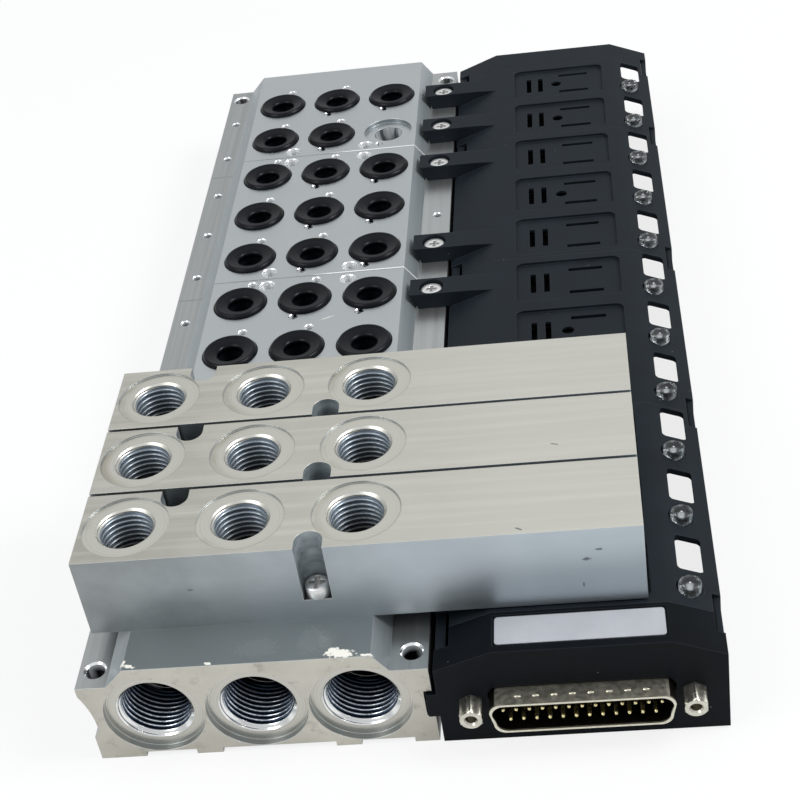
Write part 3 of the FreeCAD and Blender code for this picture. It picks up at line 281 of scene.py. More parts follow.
def kept_on_points(tree, mesh, label, value):
    """Keeps a value on the mesh for the material to read."""
    kept = node(tree, "GeometryNodeStoreNamedAttribute", {"data_type": "FLOAT", "domain": "POINT"},
                Geometry=mesh, Name=label)
    tree.links.new(value, kept.inputs["Value"])
    return kept.outputs[0]


def thread_tree():
    """The wall of a tapped bore, its mouth at the origin and opening upward."""
    tree, entry = new_geometry_tree("tapped bore", {
        "Turn": Vector(), "Around": 72, "Along": 96, "Core Radius": 1.0, "Depth": THREAD_DEPTH,
        "Pitch": THREAD_PITCH, "Length": THREAD_DEEP, "Lead": 1.0})
    grid, angle, way = lathe_grid(tree, maths(tree, "ADD", entry["Around"], 1.0), entry["Along"])
    down = maths(tree, "MULTIPLY", way, entry["Length"])
    turn = maths(tree, "ADD", maths(tree, "DIVIDE", down, entry["Pitch"]),
                 maths(tree, "DIVIDE", angle, math.tau))
    wave = maths(tree, "ABSOLUTE", maths(tree, "SUBTRACT", maths(tree, "FRACT", turn), 0.5))
    groove = ramp(tree, wave, 0.07, 0.43)
    runout = ramp(tree, maths(tree, "SUBTRACT", entry["Length"], down), 0.0, entry["Pitch"])
    cut = maths(tree, "MULTIPLY", maths(tree, "MULTIPLY", groove, runout), entry["Depth"])
    cone = maths(tree, "SUBTRACT", entry["Lead"], down)
    radius = maths(tree, "ADD", entry["Core Radius"], maths(tree, "MAXIMUM", cut, cone))
    grid = kept_on_points(tree, grid, "groove", groove)
    grid = kept_on_points(tree, grid, "down", down)
    mesh = wrap_grid(tree, grid, angle, maths(tree, "MULTIPLY", radius, MM),
                     maths(tree, "MULTIPLY", down, -MM))
    return finish_geometry_tree(tree, entry, mesh)


def put_in_scene(name, data):
    made = bpy.data.objects.new(name, data)
    bpy.context.scene.collection.objects.link(made)
    return made


def finished_mesh(holder):
    """The mesh of an object with its modifiers applied."""
    shape = holder.evaluated_get(bpy.context.evaluated_depsgraph_get())
    return bpy.data.meshes.new_from_object(shape)


def grow(name, tree, places, finish, **sizes):
    """Grows one piece from a geometry tree at the given places, as plain mesh riding on the island."""
    seed = bpy.data.meshes.new(f"{name}_places")
    seed.from_pydata(places, [], [])
    carrier = put_in_scene(f"{name}_carrier", seed)
    modifier = carrier.modifiers.new(name, "NODES")
    modifier.node_group = tree
    keys = {item.name: item.identifier for item in tree.interface.items_tree if item.in_out == "INPUT"}
    modifier[keys["Finish"]] = finish
    for label, value in sizes.items():
        modifier[keys[label.replace("_", " ")]] = value
    mesh = finished_mesh(carrier)
    bpy.data.objects.remove(carrier)
    return add_piece(name, mesh, finish)


def add_piece(name, mesh, finish):
    mesh.name = name
    mesh.materials.clear()
    mesh.materials.append(finish)
    piece = put_in_scene(name, mesh)
    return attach(piece, "root")


# Pieces taken from the frame

def merged_copy(name):
    made = bmesh.new()
    made.from_mesh(NODES[name].data)
    bmesh.ops.remove_doubles(made, verts=made.verts, dist=1e-6)
    return made


def mesh_from(made, name):
    mesh = bpy.data.meshes.new(name)
    made.to_mesh(mesh)
    made.free()
    return mesh


def smooth_up_to(mesh, corner):
    """Shades a mesh smooth and keeps the corners sharp that turn further, in degrees."""
    mesh.shade_smooth()
    mesh.set_sharp_from_angle(angle=math.radians(corner))


def solids_of(name):
    """The box of each separate solid of a node, as (low, high), in order along Y and then X."""
    made = merged_copy(name)
    seen, boxes = set(), []
    for start in made.verts:
        if start in seen:
            continue
        solid = {start}
        waiting = [start]
        while waiting:
            vertex = waiting.pop()
            beside = {edge.other_vert(vertex) for edge in vertex.link_edges} - solid
            solid |= beside
            waiting += beside
        seen |= solid
        boxes.append([Vector([end(vertex.co[axis] for vertex in solid) for axis in range(3)])
                      for end in (min, max)])
    made.free()
    return sorted(boxes, key=lambda box: (round(box[0].y, 4), box[0].x))


def top_of(box):
    low, high = box
    return Vector(((low.x + high.x) / 2, (low.y + high.y) / 2, high.z))


def dress(name, finish, bores=(), dimples=()):
    """A smooth-shaded copy of a node, its tapped walls left out and its dimples pressed in."""
    made = merged_copy(name)
    doomed = [face for face in made.faces if any(lies_on_wall(face, bore) for bore in bores)]
    bmesh.ops.delete(made, geom=doomed, context="FACES")
    mesh = mesh_from(made, f"{name}_dressed")
    if dimples:
        mesh = pressed(mesh, dimples)
    for stale in [layer for layer in mesh.attributes if layer.name in ("custom_normal", "sharp_face")]:
        mesh.attributes.remove(stale)
    smooth_up_to(mesh, DRESSED_CORNER)
    piece = add_piece(f"{name}_dressed", mesh, finish)
    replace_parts(piece, name)


def pressed(mesh, dimples):
    """The mesh with an oval dimple pressed in at each place; a dimple is its middle and its half sizes."""
    punches = bmesh.new()
    for middle, half in dimples:
        bmesh.ops.create_icosphere(punches, subdivisions=3, radius=1.0,
                                   matrix=Matrix.Translation(middle) @ Matrix.Diagonal((*half, 1.0)))
    shell = put_in_scene("being_pressed", mesh)
    modifier = shell.modifiers.new("dimples", "BOOLEAN")
    modifier.operation = "DIFFERENCE"
    modifier.solver = "EXACT"
    modifier.object = put_in_scene("punches", mesh_from(punches, "dimple_punches"))
    result = finished_mesh(shell)
    bpy.data.objects.remove(modifier.object)
    bpy.data.objects.remove(shell)
    return result


def lies_on_wall(face, bore):
    """Whether a face belongs to the plain wall or the lead of a tapped bore."""
    mouth, axis, core, lead, length = bore
    slack = 0.05 * MM
    if abs(face.normal.dot(axis)) > 0.95:
        return False
    for vertex in face.verts:
        offset = vertex.co - mouth
        down = -offset.dot(axis)
        reach = (offset + axis * down).length
        beside = core - slack < reach < core + lead + slack
        if not (beside and -slack < down < length + slack):
            return False
    return True


def tapped_bores(start, lead):
    """Mouth, axis, core radius, lead and length of the threaded mounts whose names start like this."""
    bores = []
    for label, mount in MOUNTS.items():
        if label.startswith(start):
            axis, sizes = Vector(mount["axis"]), mount["dims"]
            mouth = Vector(mount["pos_m"]) + axis * (sizes["length_mm"] * MM / 2 + lead * MM)
            bores.append((mouth, axis, sizes["r_mm"] * MM, lead * MM, THREAD_DEEP * MM))
    return bores


# Shader groups

def shader_group(name, inputs, outputs, normal=None):
    """A shader group with named inputs, masks by the given names out, and a normal where asked."""
    tree = bpy.data.node_groups.new(name, "ShaderNodeTree")
    for label, value in inputs.items():
        kind = "NodeSocketFloat" if isinstance(value, float) else "NodeSocketVector"
        made = tree.interface.new_socket(label, in_out="INPUT", socket_type=kind)
        made.default_value = value
    for label in outputs:
        tree.interface.new_socket(label, in_out="OUTPUT", socket_type="NodeSocketFloat")
    if normal:
        tree.interface.new_socket(normal, in_out="OUTPUT", socket_type="NodeSocketVector")
    return tree, tree.nodes.new("NodeGroupInput").outputs, tree.nodes.new("NodeGroupOutput").inputs


def milling_group():
    """Fine lines along one direction, wider streaks and soft patches, for machined faces."""
    tree, entry, leave = shader_group("milling lines", {
        "Place": Vector(), "Fine": Vector((1, 1, 1)), "Wide": Vector((1, 1, 1)), "Patch": 60.0},
        ("Lines", "Streaks", "Patches"))
    for label, size, roughness in (("Lines", "Fine", 0.6), ("Streaks", "Wide", 0.55)):
        stretched = vectors(tree, "MULTIPLY", entry["Place"], entry[size])
        tree.links.new(noise(tree, stretched, roughness=roughness), leave[label])
    tree.links.new(noise(tree, entry["Place"], entry["Patch"], 4.0, 0.6), leave["Patches"])
    return tree


def facing_group():
    """A mask of the faces that look one way."""
    tree, entry, leave = shader_group(
        "faces looking one way", {"Direction": Vector((0, 0, 1)), "Low": 0.75, "High": 0.95}, ("Mask",))
    normal = tree.nodes.new("ShaderNodeNewGeometry").outputs["Normal"]
    likeness = vectors(tree, "DOT_PRODUCT", normal, entry["Direction"])
    tree.links.new(ramp(tree, likeness, entry["Low"], entry["High"]), leave["Mask"])
    return tree


def box_group():
    """A mask of what lies inside a box."""
    tree, entry, leave = shader_group(
        "inside a box", {"Place": Vector(), "Low": Vector(), "High": Vector(), "Soft": 0.1 * MM}, ("Mask",))
    above = vectors(tree, "SUBTRACT", entry["Place"], entry["Low"])
    below = vectors(tree, "SUBTRACT", entry["High"], entry["Place"])
    room = parts_of(tree, vectors(tree, "MINIMUM", above, below))
    nearest = maths(tree, "MINIMUM", maths(tree, "MINIMUM", room[0], room[1]), room[2])
    tree.links.new(ramp(tree, nearest, 0.0, entry["Soft"]), leave["Mask"])
    return tree


def turning_group():
    """The reach from the nearest of a row of centres, and the cutter's rings round it."""
    tree, entry, leave = shader_group("turning rings", {
        "Place": Vector(), "Centre": Vector(), "Half Pitch": Vector((1, 1, 1)), "Plane": Vector((1, 1, 0)),
        "Fineness": 3200.0}, ("Reach", "Rings"))
    offset = vectors(tree, "SUBTRACT", entry["Place"], entry["Centre"])
    offset = vectors(tree, "MULTIPLY", offset, entry["Plane"])
    low = vectors(tree, "MULTIPLY", entry["Half Pitch"], Vector((-1, -1, -1)))
    reach = vectors(tree, "LENGTH", vectors(tree, "WRAP", offset, entry["Half Pitch"], low))
    rings = node(tree, "ShaderNodeTexNoise", {"noise_dimensions": "1D"}, Scale=1.0, Detail=3.0, Roughness=0.6,
                 W=maths(tree, "MULTIPLY", reach, entry["Fineness"]))
    tree.links.new(reach, leave["Reach"])
    tree.links.new(rings.outputs[0], leave["Rings"])
    return tree


def scuff_group():
    """A mask of one ragged oval spot, turned about the upright axis."""
    tree, entry, leave = shader_group("scuffed spot", {
        "Place": Vector(), "Centre": Vector(), "Half": Vector((1, 1, 1)), "Turn": 0.0, "Ragged": 1.7},
        ("Mask",))
    offset = vectors(tree, "SUBTRACT", entry["Place"], entry["Centre"])
    turned = node(tree, "ShaderNodeVectorRotate", {"rotation_type": "Z_AXIS"}, Vector=offset,
                  Angle=entry["Turn"])
    uneven = maths(tree, "SUBTRACT", noise(tree, entry["Place"], 1400.0), 0.5)
    ragged = maths(tree, "MULTIPLY", uneven, entry["Ragged"])
    reach = vectors(tree, "LENGTH", vectors(tree, "DIVIDE", turned.outputs[0], entry["Half"]))
    tree.links.new(ramp(tree, maths(tree, "ADD", reach, ragged), 1.0, 0.75), leave["Mask"])
    return tree


def specks_group():
    """A mask of sparse small specks of dust."""
    tree, entry, leave = shader_group(
        "dust specks", {"Place": Vector(), "Cells": 300.0, "Size": 0.06, "Share": 0.25}, ("Mask",))
    cells = node(tree, "ShaderNodeTexVoronoi", Vector=entry["Place"], Scale=entry["Cells"])
    chosen = maths(tree, "LESS_THAN", parts_of(tree, cells.outputs["Color"])[0], entry["Share"])
    small = ramp(tree, cells.outputs["Distance"], entry["Size"], 0.0)
    tree.links.new(maths(tree, "MULTIPLY", small, chosen), leave["Mask"])
    return tree


def edge_group():
    """A mask of the edges and a normal that rounds them over."""
    tree, entry, leave = shader_group(
        "rounded edges", {"Width": 0.3 * MM, "Sharpness": 8.0}, ("Mask",), normal="Normal")
    rounded = node(tree, "ShaderNodeBevel", {"samples": 6}, Radius=entry["Width"])
    plain = tree.nodes.new("ShaderNodeNewGeometry").outputs["Normal"]
    turned_away = maths(tree, "SUBTRACT", 1.0, vectors(tree, "DOT_PRODUCT", rounded.outputs[0], plain))
    mask = maths(tree, "MINIMUM", maths(tree, "MULTIPLY", turned_away, entry["Sharpness"]), 1.0)
    tree.links.new(mask, leave["Mask"])
    tree.links.new(rounded.outputs[0], leave["Normal"])
    return tree


def new_material(name):
    """A new material with its tree, its shader and the place on the piece."""
    material = bpy.data.materials.new(name)
    material.use_nodes = True
    tree = material.node_tree
    place = tree.nodes.new("ShaderNodeTexCoord").outputs["Object"]
    return material, tree, tree.nodes["Principled BSDF"], place


def group_node(tree, group, **inputs):
    made = tree.nodes.new("ShaderNodeGroup")
    made.node_tree = group
    for key, value in inputs.items():
        feed(tree, made, key.replace("_", " "), value)
    return made.outputs


def mix_colours(tree, share, first, second):
    made = node(tree, "ShaderNodeMix", {"data_type": "RGBA"}, i0=share, i6=first, i7=second)
    return made.outputs[2]


def painted(tree, body, *layers):
    """Lays colours over one another, each where its mask says, and by a share where one is given."""
    for mask, colour, *share in layers:
        body = mix_colours(tree, both(tree, mask, *share), body, colour)
    return body


def finish_surface(tree, shader, colour, rough, height, strength=0.3, distance=0.02, normal=None):
    """Gives the shader its colour, its roughness and a bump of so many millimetres."""
    tree.links.new(colour, shader.inputs["Base Color"])
    tree.links.new(rough, shader.inputs["Roughness"])
    bump = node(tree, "ShaderNodeBump", Strength=strength, Distance=distance * MM, Height=height)
    if normal is not None:
        tree.links.new(normal, bump.inputs["Normal"])
    tree.links.new(bump.outputs[0], shader.inputs["Normal"])


def shade(red, green, blue):
    """A colour written in the eight-bit steps of a screen, as linear light."""
    def linear(step):
        part = step / 255
        return part / 12.92 if part <= 0.04045 else ((part + 0.055) / 1.055) ** 2.4
    return linear(red), linear(green), linear(blue), 1.0


MILLING = milling_group()
EDGES = edge_group()
FACING = facing_group()
INSIDE = box_group()
TURNING = turning_group()
SCUFF = scuff_group()
SPECKS = specks_group()


def spot(*sizes):
    """A point or a size in metres from millimetres."""
    return Vector(sizes) * MM


def past(tree, value, start, end):
    """A mask that is 0 at the first length and 1 at the second, in millimetres."""
    return ramp(tree, value, start * MM, end * MM)


def faces_looking(tree, direction, low=0.75, high=0.95):
    return group_node(tree, FACING, Direction=Vector(direction), Low=low, High=high)["Mask"]


def inside(tree, place, low, high, soft=0.1):
    return group_node(tree, INSIDE, Place=place, Low=spot(*low), High=spot(*high), Soft=soft * MM)["Mask"]


def in_row(tree, place, half, low, high, soft=0.1):
    """What lies between two heights, within half a width of the row's middle and short of its ends."""
    return inside(tree, place, (-half, -ROW_HALF, low), (half, ROW_HALF, high), soft)


def in_flanges(tree, place, near, low, high, soft=0.1):
    """What lies between two heights in the flanges, from a distance out to their bores' far sides."""
    return any_of(tree, inside(tree, place, (-FLANGE_BORES, -ROW_HALF, low), (-near, ROW_HALF, high), soft),
                  inside(tree, place, (near, -ROW_HALF, low), (FLANGE_BORES, ROW_HALF, high), soft))


def any_of(tree, *masks):
    return reduce(lambda kept, mask: maths(tree, "MAXIMUM", kept, mask), masks)


def both(tree, *masks):
    return reduce(lambda kept, mask: maths(tree, "MULTIPLY", kept, mask), masks)


def without(tree, mask):
    return maths(tree, "SUBTRACT", 1.0, mask)


def scuffs(tree, place, marks):
    """All the marks of a list of (middle, half sizes, turn) as one mask."""
    masks = []
    for middle, half, turn in marks:
        made = group_node(tree, SCUFF, Place=place, Centre=spot(*middle), Half=spot(*half), Turn=turn)
        masks.append(made["Mask"])
    return any_of(tree, *masks)


def module_seams(tree, place):
    """Dark joint lines between the manifold modules, and a painted highlight on the chamfer beyond each,
    where it catches the light.
    """
    x, y = parts_of(tree, place)[:2]
    half = MODULE_LONG / 2 * MM
    beyond = maths(tree, "WRAP", maths(tree, "SUBTRACT", y, FIRST_SEAM * MM), half, -half)
    behind_blocks = maths(tree, "GREATER_THAN", y, BLOCKS_END * MM)
    dark = both(tree, past(tree, maths(tree, "ABSOLUTE", beyond), 0.22, 0.1), behind_blocks)
    chamfer = both(tree, past(tree, beyond, 0.02, 0.1), past(tree, beyond, 0.62, 0.45), behind_blocks,
                   past(tree, x, 0.0, 6.0), maths(tree, "LESS_THAN", x, 31.5 * MM))
    return dark, chamfer


# Materials

def manifold_metal():
    """Milled, clear-anodised aluminium of the manifold: cool grey deck, streaked flanges, warm end faces."""
    material, tree, shader, place = new_material("milled manifold aluminium")
    grain = group_node(tree, MILLING, Place=place, Fine=Vector((2600, 40, 2600)),
                       Wide=Vector((700, 14, 700)), Patch=55.0)
    edges = group_node(tree, EDGES, Width=0.25 * MM, Sharpness=6.0)
    x, y, z = parts_of(tree, place)
    far_out = maths(tree, "ABSOLUTE", x)
    on_right = maths(tree, "GREATER_THAN", x, 0.0)
    streak = ramp(tree, grain["Streaks"], 0.3, 0.7)

    # The deck strip before the first block is painted darker: painted shade and reflection of the block above
    # it
    deck = painted(tree, shade(186, 192, 194), (grain["Patches"], shade(200, 204, 204)),
                   (past(tree, y, -121.0, -126.0), shade(130, 138, 140), 0.6))
    flange = past(tree, far_out, FLANGE_FROM, FLANGE_FROM + 0.1)
    # Streaked flanges, the left one painted darker than the right as painted shade
    flanges = mix_colours(
        tree, on_right, mix_colours(tree, streak, shade(163, 167, 167), shade(181, 183, 182)),
        mix_colours(tree, streak, shade(174, 178, 178), shade(192, 194, 193)))
    # Painted shade on the slopes: the left one lighter at the foot and darker at the crest, the right one
    # darker at the foot and lighter at the crest
    upward = past(tree, z, FLANGE, DECK)
    slope_shading = mix_colours(
        tree, on_right, mix_colours(tree, upward, shade(170, 177, 179), shade(134, 141, 144)),
        mix_colours(tree, upward, shade(118, 125, 128), shade(146, 153, 157)))
    slope_shading = painted(tree, slope_shading, (streak, shade(186, 191, 194), 0.2))
    slope = both(tree, past(tree, far_out, DECK_HALF, DECK_HALF + 0.2),
                 past(tree, z, FLANGE + 0.02, FLANGE + 0.12))

    ends = both(tree, any_of(tree, faces_looking(tree, (0, -1, 0)), faces_looking(tree, (0, 1, 0))),
                past(tree, maths(tree, "ABSOLUTE", y), ROW_HALF, ROW_HALF + 1.0))
    turned = group_node(tree, TURNING, Place=place, Centre=spot(0, 0, END_PORT_HEIGHT),
                        Half_Pitch=spot(END_PORT_PITCH / 2, 1000, 1000), Plane=Vector((1, 0, 1)))
    ringed = both(tree, ends, maths(tree, "LESS_THAN", far_out, END_PORT_PITCH * 1.5 * MM),
                  past(tree, turned["Reach"], END_FACE_RADIUS + 0.02, END_FACE_RADIUS - 0.1))
    cloudy = ramp(tree, grain["Patches"], 0.35, 0.65)
    fine_patches = group_node(tree, MILLING, Place=place, Patch=330.0)["Patches"]
    stained = ramp(tree, fine_patches, 0.56, 0.7)
    rings = mix_colours(tree, turned["Rings"], shade(160, 158, 150), shade(214, 212, 203))
    end_faces = painted(tree, mix_colours(tree, cloudy, shade(184, 181, 170), shade(200, 197, 186)),
                        (stained, shade(146, 143, 134), 0.55), (ringed, rings))

    level = faces_looking(tree, (0, 0, 1), 0.9, 0.97)
    upright = without(tree, level)
    # Painted shade: inner faces below the deck and below the flange tops are painted near black
    deep_shade = any_of(tree, in_row(tree, place, 26.5, 0.3, DECK - 1.5, 2.0),
                  in_flanges(tree, place, 31.5, 0.3, FLANGE - 0.9, 1.5))
    port = group_node(tree, TURNING, Place=place, Centre=Vector((SEAT.x, SEAT.y, 0.0)),
                      Half_Pitch=spot(SEAT_PITCH / 2, POSITION_PITCH / 2, 1000), Plane=Vector((1, 1, 0)))
    ported = both(tree, maths(tree, "LESS_THAN", port["Reach"], SEAT_ROOM * MM),
                  maths(tree, "LESS_THAN", far_out, DECK_HALF * MM))
    near_mouth = both(tree, upright, without(tree, deep_shade), without(tree, slope), without(tree, ends))
    small_bores = both(tree, near_mouth, without(tree, ported),
                       any_of(tree, in_row(tree, place, 26.5, 20, DECK - 0.3),
                              in_flanges(tree, place, 31.9, 18, FLANGE - 0.3)))
    seats = both(tree, ported, in_row(tree, place, DECK_HALF, DECK - SEAT_DEEP - 0.2, DECK - 0.1))
    # Painted shade: the walls of the seal seats are painted darker than the deck
    seat_wall_shade = both(tree, seats, upright)
    seat_bores = in_row(tree, place, DECK_HALF, 0.5, DECK - SEAT_DEEP)
    # Painted shade: the bores under the seals are painted dark
    below_seat_shade = both(tree, ported, seat_bores)
    open_seat = Vector((SEAT.x, SEAT.y, 0.0)) + spot(SEAT_PITCH, OPEN_POSITION * POSITION_PITCH, 0)
    from_open = vectors(tree, "MULTIPLY", vectors(tree, "SUBTRACT", place, open_seat), Vector((1, 1, 0)))
    in_open = both(tree, maths(tree, "LESS_THAN", vectors(tree, "LENGTH", from_open), SEAT_ROOM * MM),
                   seat_bores)
    # Painted reflections: light and dark streaks on the walls of the open seat's bore
    glint = group_node(tree, MILLING, Place=place, Wide=Vector((320, 320, 60)))["Streaks"]
    painted_glints = mix_colours(tree, ramp(tree, glint, 0.42, 0.56), shade(96, 104, 110),
                         shade(240, 243, 245))
    flange_leads = both(tree, flange, past(tree, z, FLANGE - 0.5, FLANGE - 0.4),
                        without(tree, past(tree, far_out, 37.6, 37.8)))
    deck_leads = inside(tree, place, (-DECK_HALF, -137, DECK - 1.35), (DECK_HALF, 137, DECK + 1))
    leads = both(tree, near_mouth, without(tree, ported), any_of(tree, deck_leads, flange_leads))
    # Beside each joint line, a painted highlight along the chamfer
    dark_joint, seam_highlight = module_seams(tree, place)
    knocks = scuffs(tree, place, DECK_MARKS)
    rubs = scuffs(tree, place, DECK_RUBS)

    # The pale edges are partly wear and partly painted highlight
    body = painted(
        tree, deck, (flange, flanges), (slope, slope_shading), (ends, end_faces), (deep_shade, shade(24, 28, 32)),
        (small_bores, shade(196, 201, 203)), (seats, shade(196, 200, 201), level),
        (seat_wall_shade, shade(128, 136, 140)), (below_seat_shade, shade(34, 40, 46)), (in_open, painted_glints, upright),
        (leads, shade(246, 247, 248)), (dark_joint, shade(70, 74, 78), 0.75),
        (seam_highlight, shade(252, 252, 250), 0.9), (knocks, shade(250, 247, 236), 0.95),
        (rubs, shade(222, 226, 228), 0.12), (edges["Mask"], shade(238, 240, 240), 0.5))
    dull = any_of(tree, knocks, both(tree, small_bores, 0.7), both(tree, seat_wall_shade, 0.4),
                  both(tree, slope, 0.7), both(tree, seam_highlight, 0.8), both(tree, in_open, 0.6),
                  both(tree, below_seat_shade, 0.5))
    tree.links.new(ramp(tree, dull, 0.0, 1.0, 0.92, 0.1), shader.inputs["Metallic"])
    rough = maths(tree, "ADD", maths(tree, "MULTIPLY", grain["Lines"], 0.16), 0.26)
    for mask, roughness in ((any_of(tree, leads, seam_highlight), 0.16), (any_of(tree, ends, slope), 0.4),
                            (ringed, 0.24)):
        rough = ramp(tree, mask, 0.0, 1.0, rough, roughness)
    height = maths(tree, "ADD", both(tree, grain["Lines"], without(tree, leads)),
                   both(tree, turned["Rings"], ringed, 1.6))
    height = maths(tree, "SUBTRACT", height, both(tree, dark_joint, 4.0))
    finish_surface(tree, shader, body, rough, height, normal=edges["Normal"])
    return material


def block_metal_finish():
    """Bare aluminium of the supply blocks: warm brushed tops, cool drawn sides, turned port faces."""
    material, tree, shader, place = new_material("milled block aluminium")
    grain = group_node(tree, MILLING, Place=place, Fine=Vector((60, 2400, 2400)),
                       Wide=Vector((18, 500, 500)), Patch=48.0)
    edges = group_node(tree, EDGES, Width=0.22 * MM, Sharpness=6.0)
    x, y, z = parts_of(tree, place)
    top = faces_looking(tree, (0, 0, 1))
    middle = MOUNTS["block_1_port_middle"]["pos_m"][1]
    half = POSITION_PITCH / 2 * MM
    along = maths(tree, "WRAP", maths(tree, "SUBTRACT", y, middle), half, -half)
    cloudy = ramp(tree, grain["Patches"], 0.35, 0.65)
    # Painted light: tops, sides and port faces grow lighter towards the right
    painted_light_rightward = past(tree, x, -34.0, 60.0)
    brushed = ramp(tree, grain["Streaks"], 0.45, 0.75)
    tops = painted(tree, shade(182, 180, 170), (painted_light_rightward, shade(216, 214, 203)),
                   (cloudy, shade(214, 213, 205), 0.5), (brushed, shade(230, 228, 217), 0.5))
    sides = painted(tree, shade(134, 138, 138), (painted_light_rightward, shade(178, 188, 194)),
                    (cloudy, shade(196, 204, 208), 0.3))

    turned = group_node(tree, TURNING, Place=place, Centre=Vector((0.0, middle, 0.0)),
                        Half_Pitch=spot(BLOCK_PORT_PITCH / 2, POSITION_PITCH / 2, 1000),
                        Plane=Vector((1, 1, 0)), Fineness=2600.0)
    by_ports = past(tree, x, 36.0, 35.9)
    ringed = both(tree, top, by_ports,
                  past(tree, turned["Reach"], BLOCK_FACE_RADIUS + 0.02, BLOCK_FACE_RADIUS - 0.08))
    rings = painted(tree, shade(188, 187, 178), (turned["Rings"], shade(226, 224, 214)),
                    (painted_light_rightward, shade(222, 220, 208), 0.4))
    half = BLOCK_PORT_PITCH / 2 * MM
    # A darker tan arc on the left of each port face
    tan_arcs = both(tree, ringed, past(tree, maths(tree, "WRAP", x, half, -half), -1.0, -7.0),
                   past(tree, turned["Reach"], 7.4, 9.0),
                   ramp(tree, grain["Patches"], 0.42, 0.6), 0.6)
    # Painted shade: a dark line round the edge of each port face
    from_rim = maths(tree, "ABSOLUTE", maths(tree, "SUBTRACT", turned["Reach"], BLOCK_FACE_RADIUS * MM))
    rim = both(tree, past(tree, from_rim, 0.16, 0.05), by_ports,
               past(tree, z, BLOCK_TOP - 0.6, BLOCK_TOP - 0.5),
               ramp(tree, grain["Patches"], 0.3, 0.6), 0.7)
    notch = both(tree, without(tree, top), past(tree, maths(tree, "ABSOLUTE", along), 11.0, 10.9),
                 inside(tree, place, (-35.6, -200, 20), (85.4, 200, BLOCK_TOP - 0.1)))
    notches = mix_colours(tree, ramp(tree, grain["Streaks"], 0.35, 0.65),
                          shade(122, 131, 135), shade(158, 166, 169))
    # Painted shade: level faces deeper than about five millimetres below the block top, the bores' floors
    # among them, are painted dark
    bore_floor_shade = both(tree, top, past(tree, z, BLOCK_TOP - 4.0, BLOCK_TOP - 6.0))
    nicks = scuffs(tree, place, BLOCK_NICKS)

    # The pale edges are partly wear and partly painted highlight
    body = painted(
        tree, sides, (top, tops), (ringed, rings), (tan_arcs, shade(160, 153, 132)),
        (rim, shade(96, 96, 92)), (notch, notches), (bore_floor_shade, shade(104, 106, 103)),
        (nicks, shade(84, 92, 98), 0.75), (edges["Mask"], shade(244, 243, 238), 0.45))
    tree.links.new(ramp(tree, notch, 0.0, 1.0, 0.92, 0.25), shader.inputs["Metallic"])
    rough = maths(tree, "ADD", maths(tree, "MULTIPLY", grain["Lines"], 0.22), 0.28)
    rough = ramp(tree, ringed, 0.0, 1.0, rough, 0.24)
    height = maths(tree, "ADD", grain["Lines"], both(tree, turned["Rings"], ringed, 1.4))
    height = maths(tree, "SUBTRACT", height, both(tree, nicks, 2.0))
    finish_surface(tree, shader, body, rough, height, normal=edges["Normal"])
    return material


def tapped_metal(name, flank_reflection, crest_highlight, depth_shade, mouth, roughness, metallic):
    """Cut thread with painted light: flanks painted dark as painted reflection, crests painted bright as
    painted highlight, a bright lead, and painted shade growing with depth.
    """
    material, tree, shader, place = new_material(name)
    groove, down = (node(tree, "ShaderNodeAttribute", {"attribute_name": label}).outputs["Fac"]
                    for label in ("groove", "down"))
    burr = noise(tree, place, 1500.0)
    ragged = maths(tree, "MULTIPLY", maths(tree, "SUBTRACT", burr, 0.5), 0.35)
    on_crest = ramp(tree, maths(tree, "ADD", groove, ragged), 0.26, 0.08)
    lead = ramp(tree, down, 1.15, 1.0)
    body = painted(tree, flank_reflection, (on_crest, crest_highlight), (ramp(tree, down, 3.0, 11.0), depth_shade),
                   (lead, mouth))
    tree.links.new(ramp(tree, lead, 0.0, 1.0, metallic, 1.0), shader.inputs["Metallic"])
    rough = ramp(tree, burr, 0.3, 0.7, roughness - 0.05, roughness + 0.08)
    finish_surface(tree, shader, body, rough, burr)
    return material


def plastic(name, colour, light, grain_size=9000.0, roughness=0.5, edge=0.25, gloss=0.3, dust=0.0):
    """Moulded plastic with a fine spark-eroded grain, paler edges that are partly wear and partly painted
    highlight, and a little dust.
    """
    material, tree, shader, place = new_material(name)
    clouds = noise(tree, place, 90.0, 4.0, 0.6)
    edges = group_node(tree, EDGES, Width=0.3 * MM, Sharpness=5.0)
    worn = painted(tree, colour, (ramp(tree, clouds, 0.35, 0.7), light),
                   (edges["Mask"], shade(120, 126, 130), edge))
    if dust:
        specks = group_node(tree, SPECKS, Place=place, Cells=260.0, Size=0.055, Share=0.3)
        worn = painted(tree, worn, (specks["Mask"], shade(170, 172, 170), dust))
    shader.inputs["Specular IOR Level"].default_value = gloss
    rough = ramp(tree, clouds, 0.3, 0.7, roughness - 0.06, roughness + 0.08)
    finish_surface(tree, shader, worn, rough, noise(tree, place, grain_size, 2.0), 0.35,
                   normal=edges["Normal"])
    return material


def bright_metal(name, colour, roughness=0.25, metallic=1.0, painted_shade_within=None):
    """Plated metal with a faint mottle; what lies in the given box is painted dark inside as painted shade.
    """
    material, tree, shader, place = new_material(name)
    clouds = noise(tree, place, 900.0)
    body = mix_colours(tree, ramp(tree, clouds, 0.3, 0.7), colour,
                       tuple(part * 0.8 for part in colour[:3]) + (1.0,))
    if painted_shade_within:
        body = mix_colours(tree, inside(tree, place, *painted_shade_within, 0.05), body, shade(52, 50, 44))
    shader.inputs["Metallic"].default_value = metallic
    rough = ramp(tree, clouds, 0.3, 0.7, roughness, roughness + 0.15)
    finish_surface(tree, shader, body, rough, noise(tree, place, 6000.0, 2.0), 0.15, 0.01)
    return material


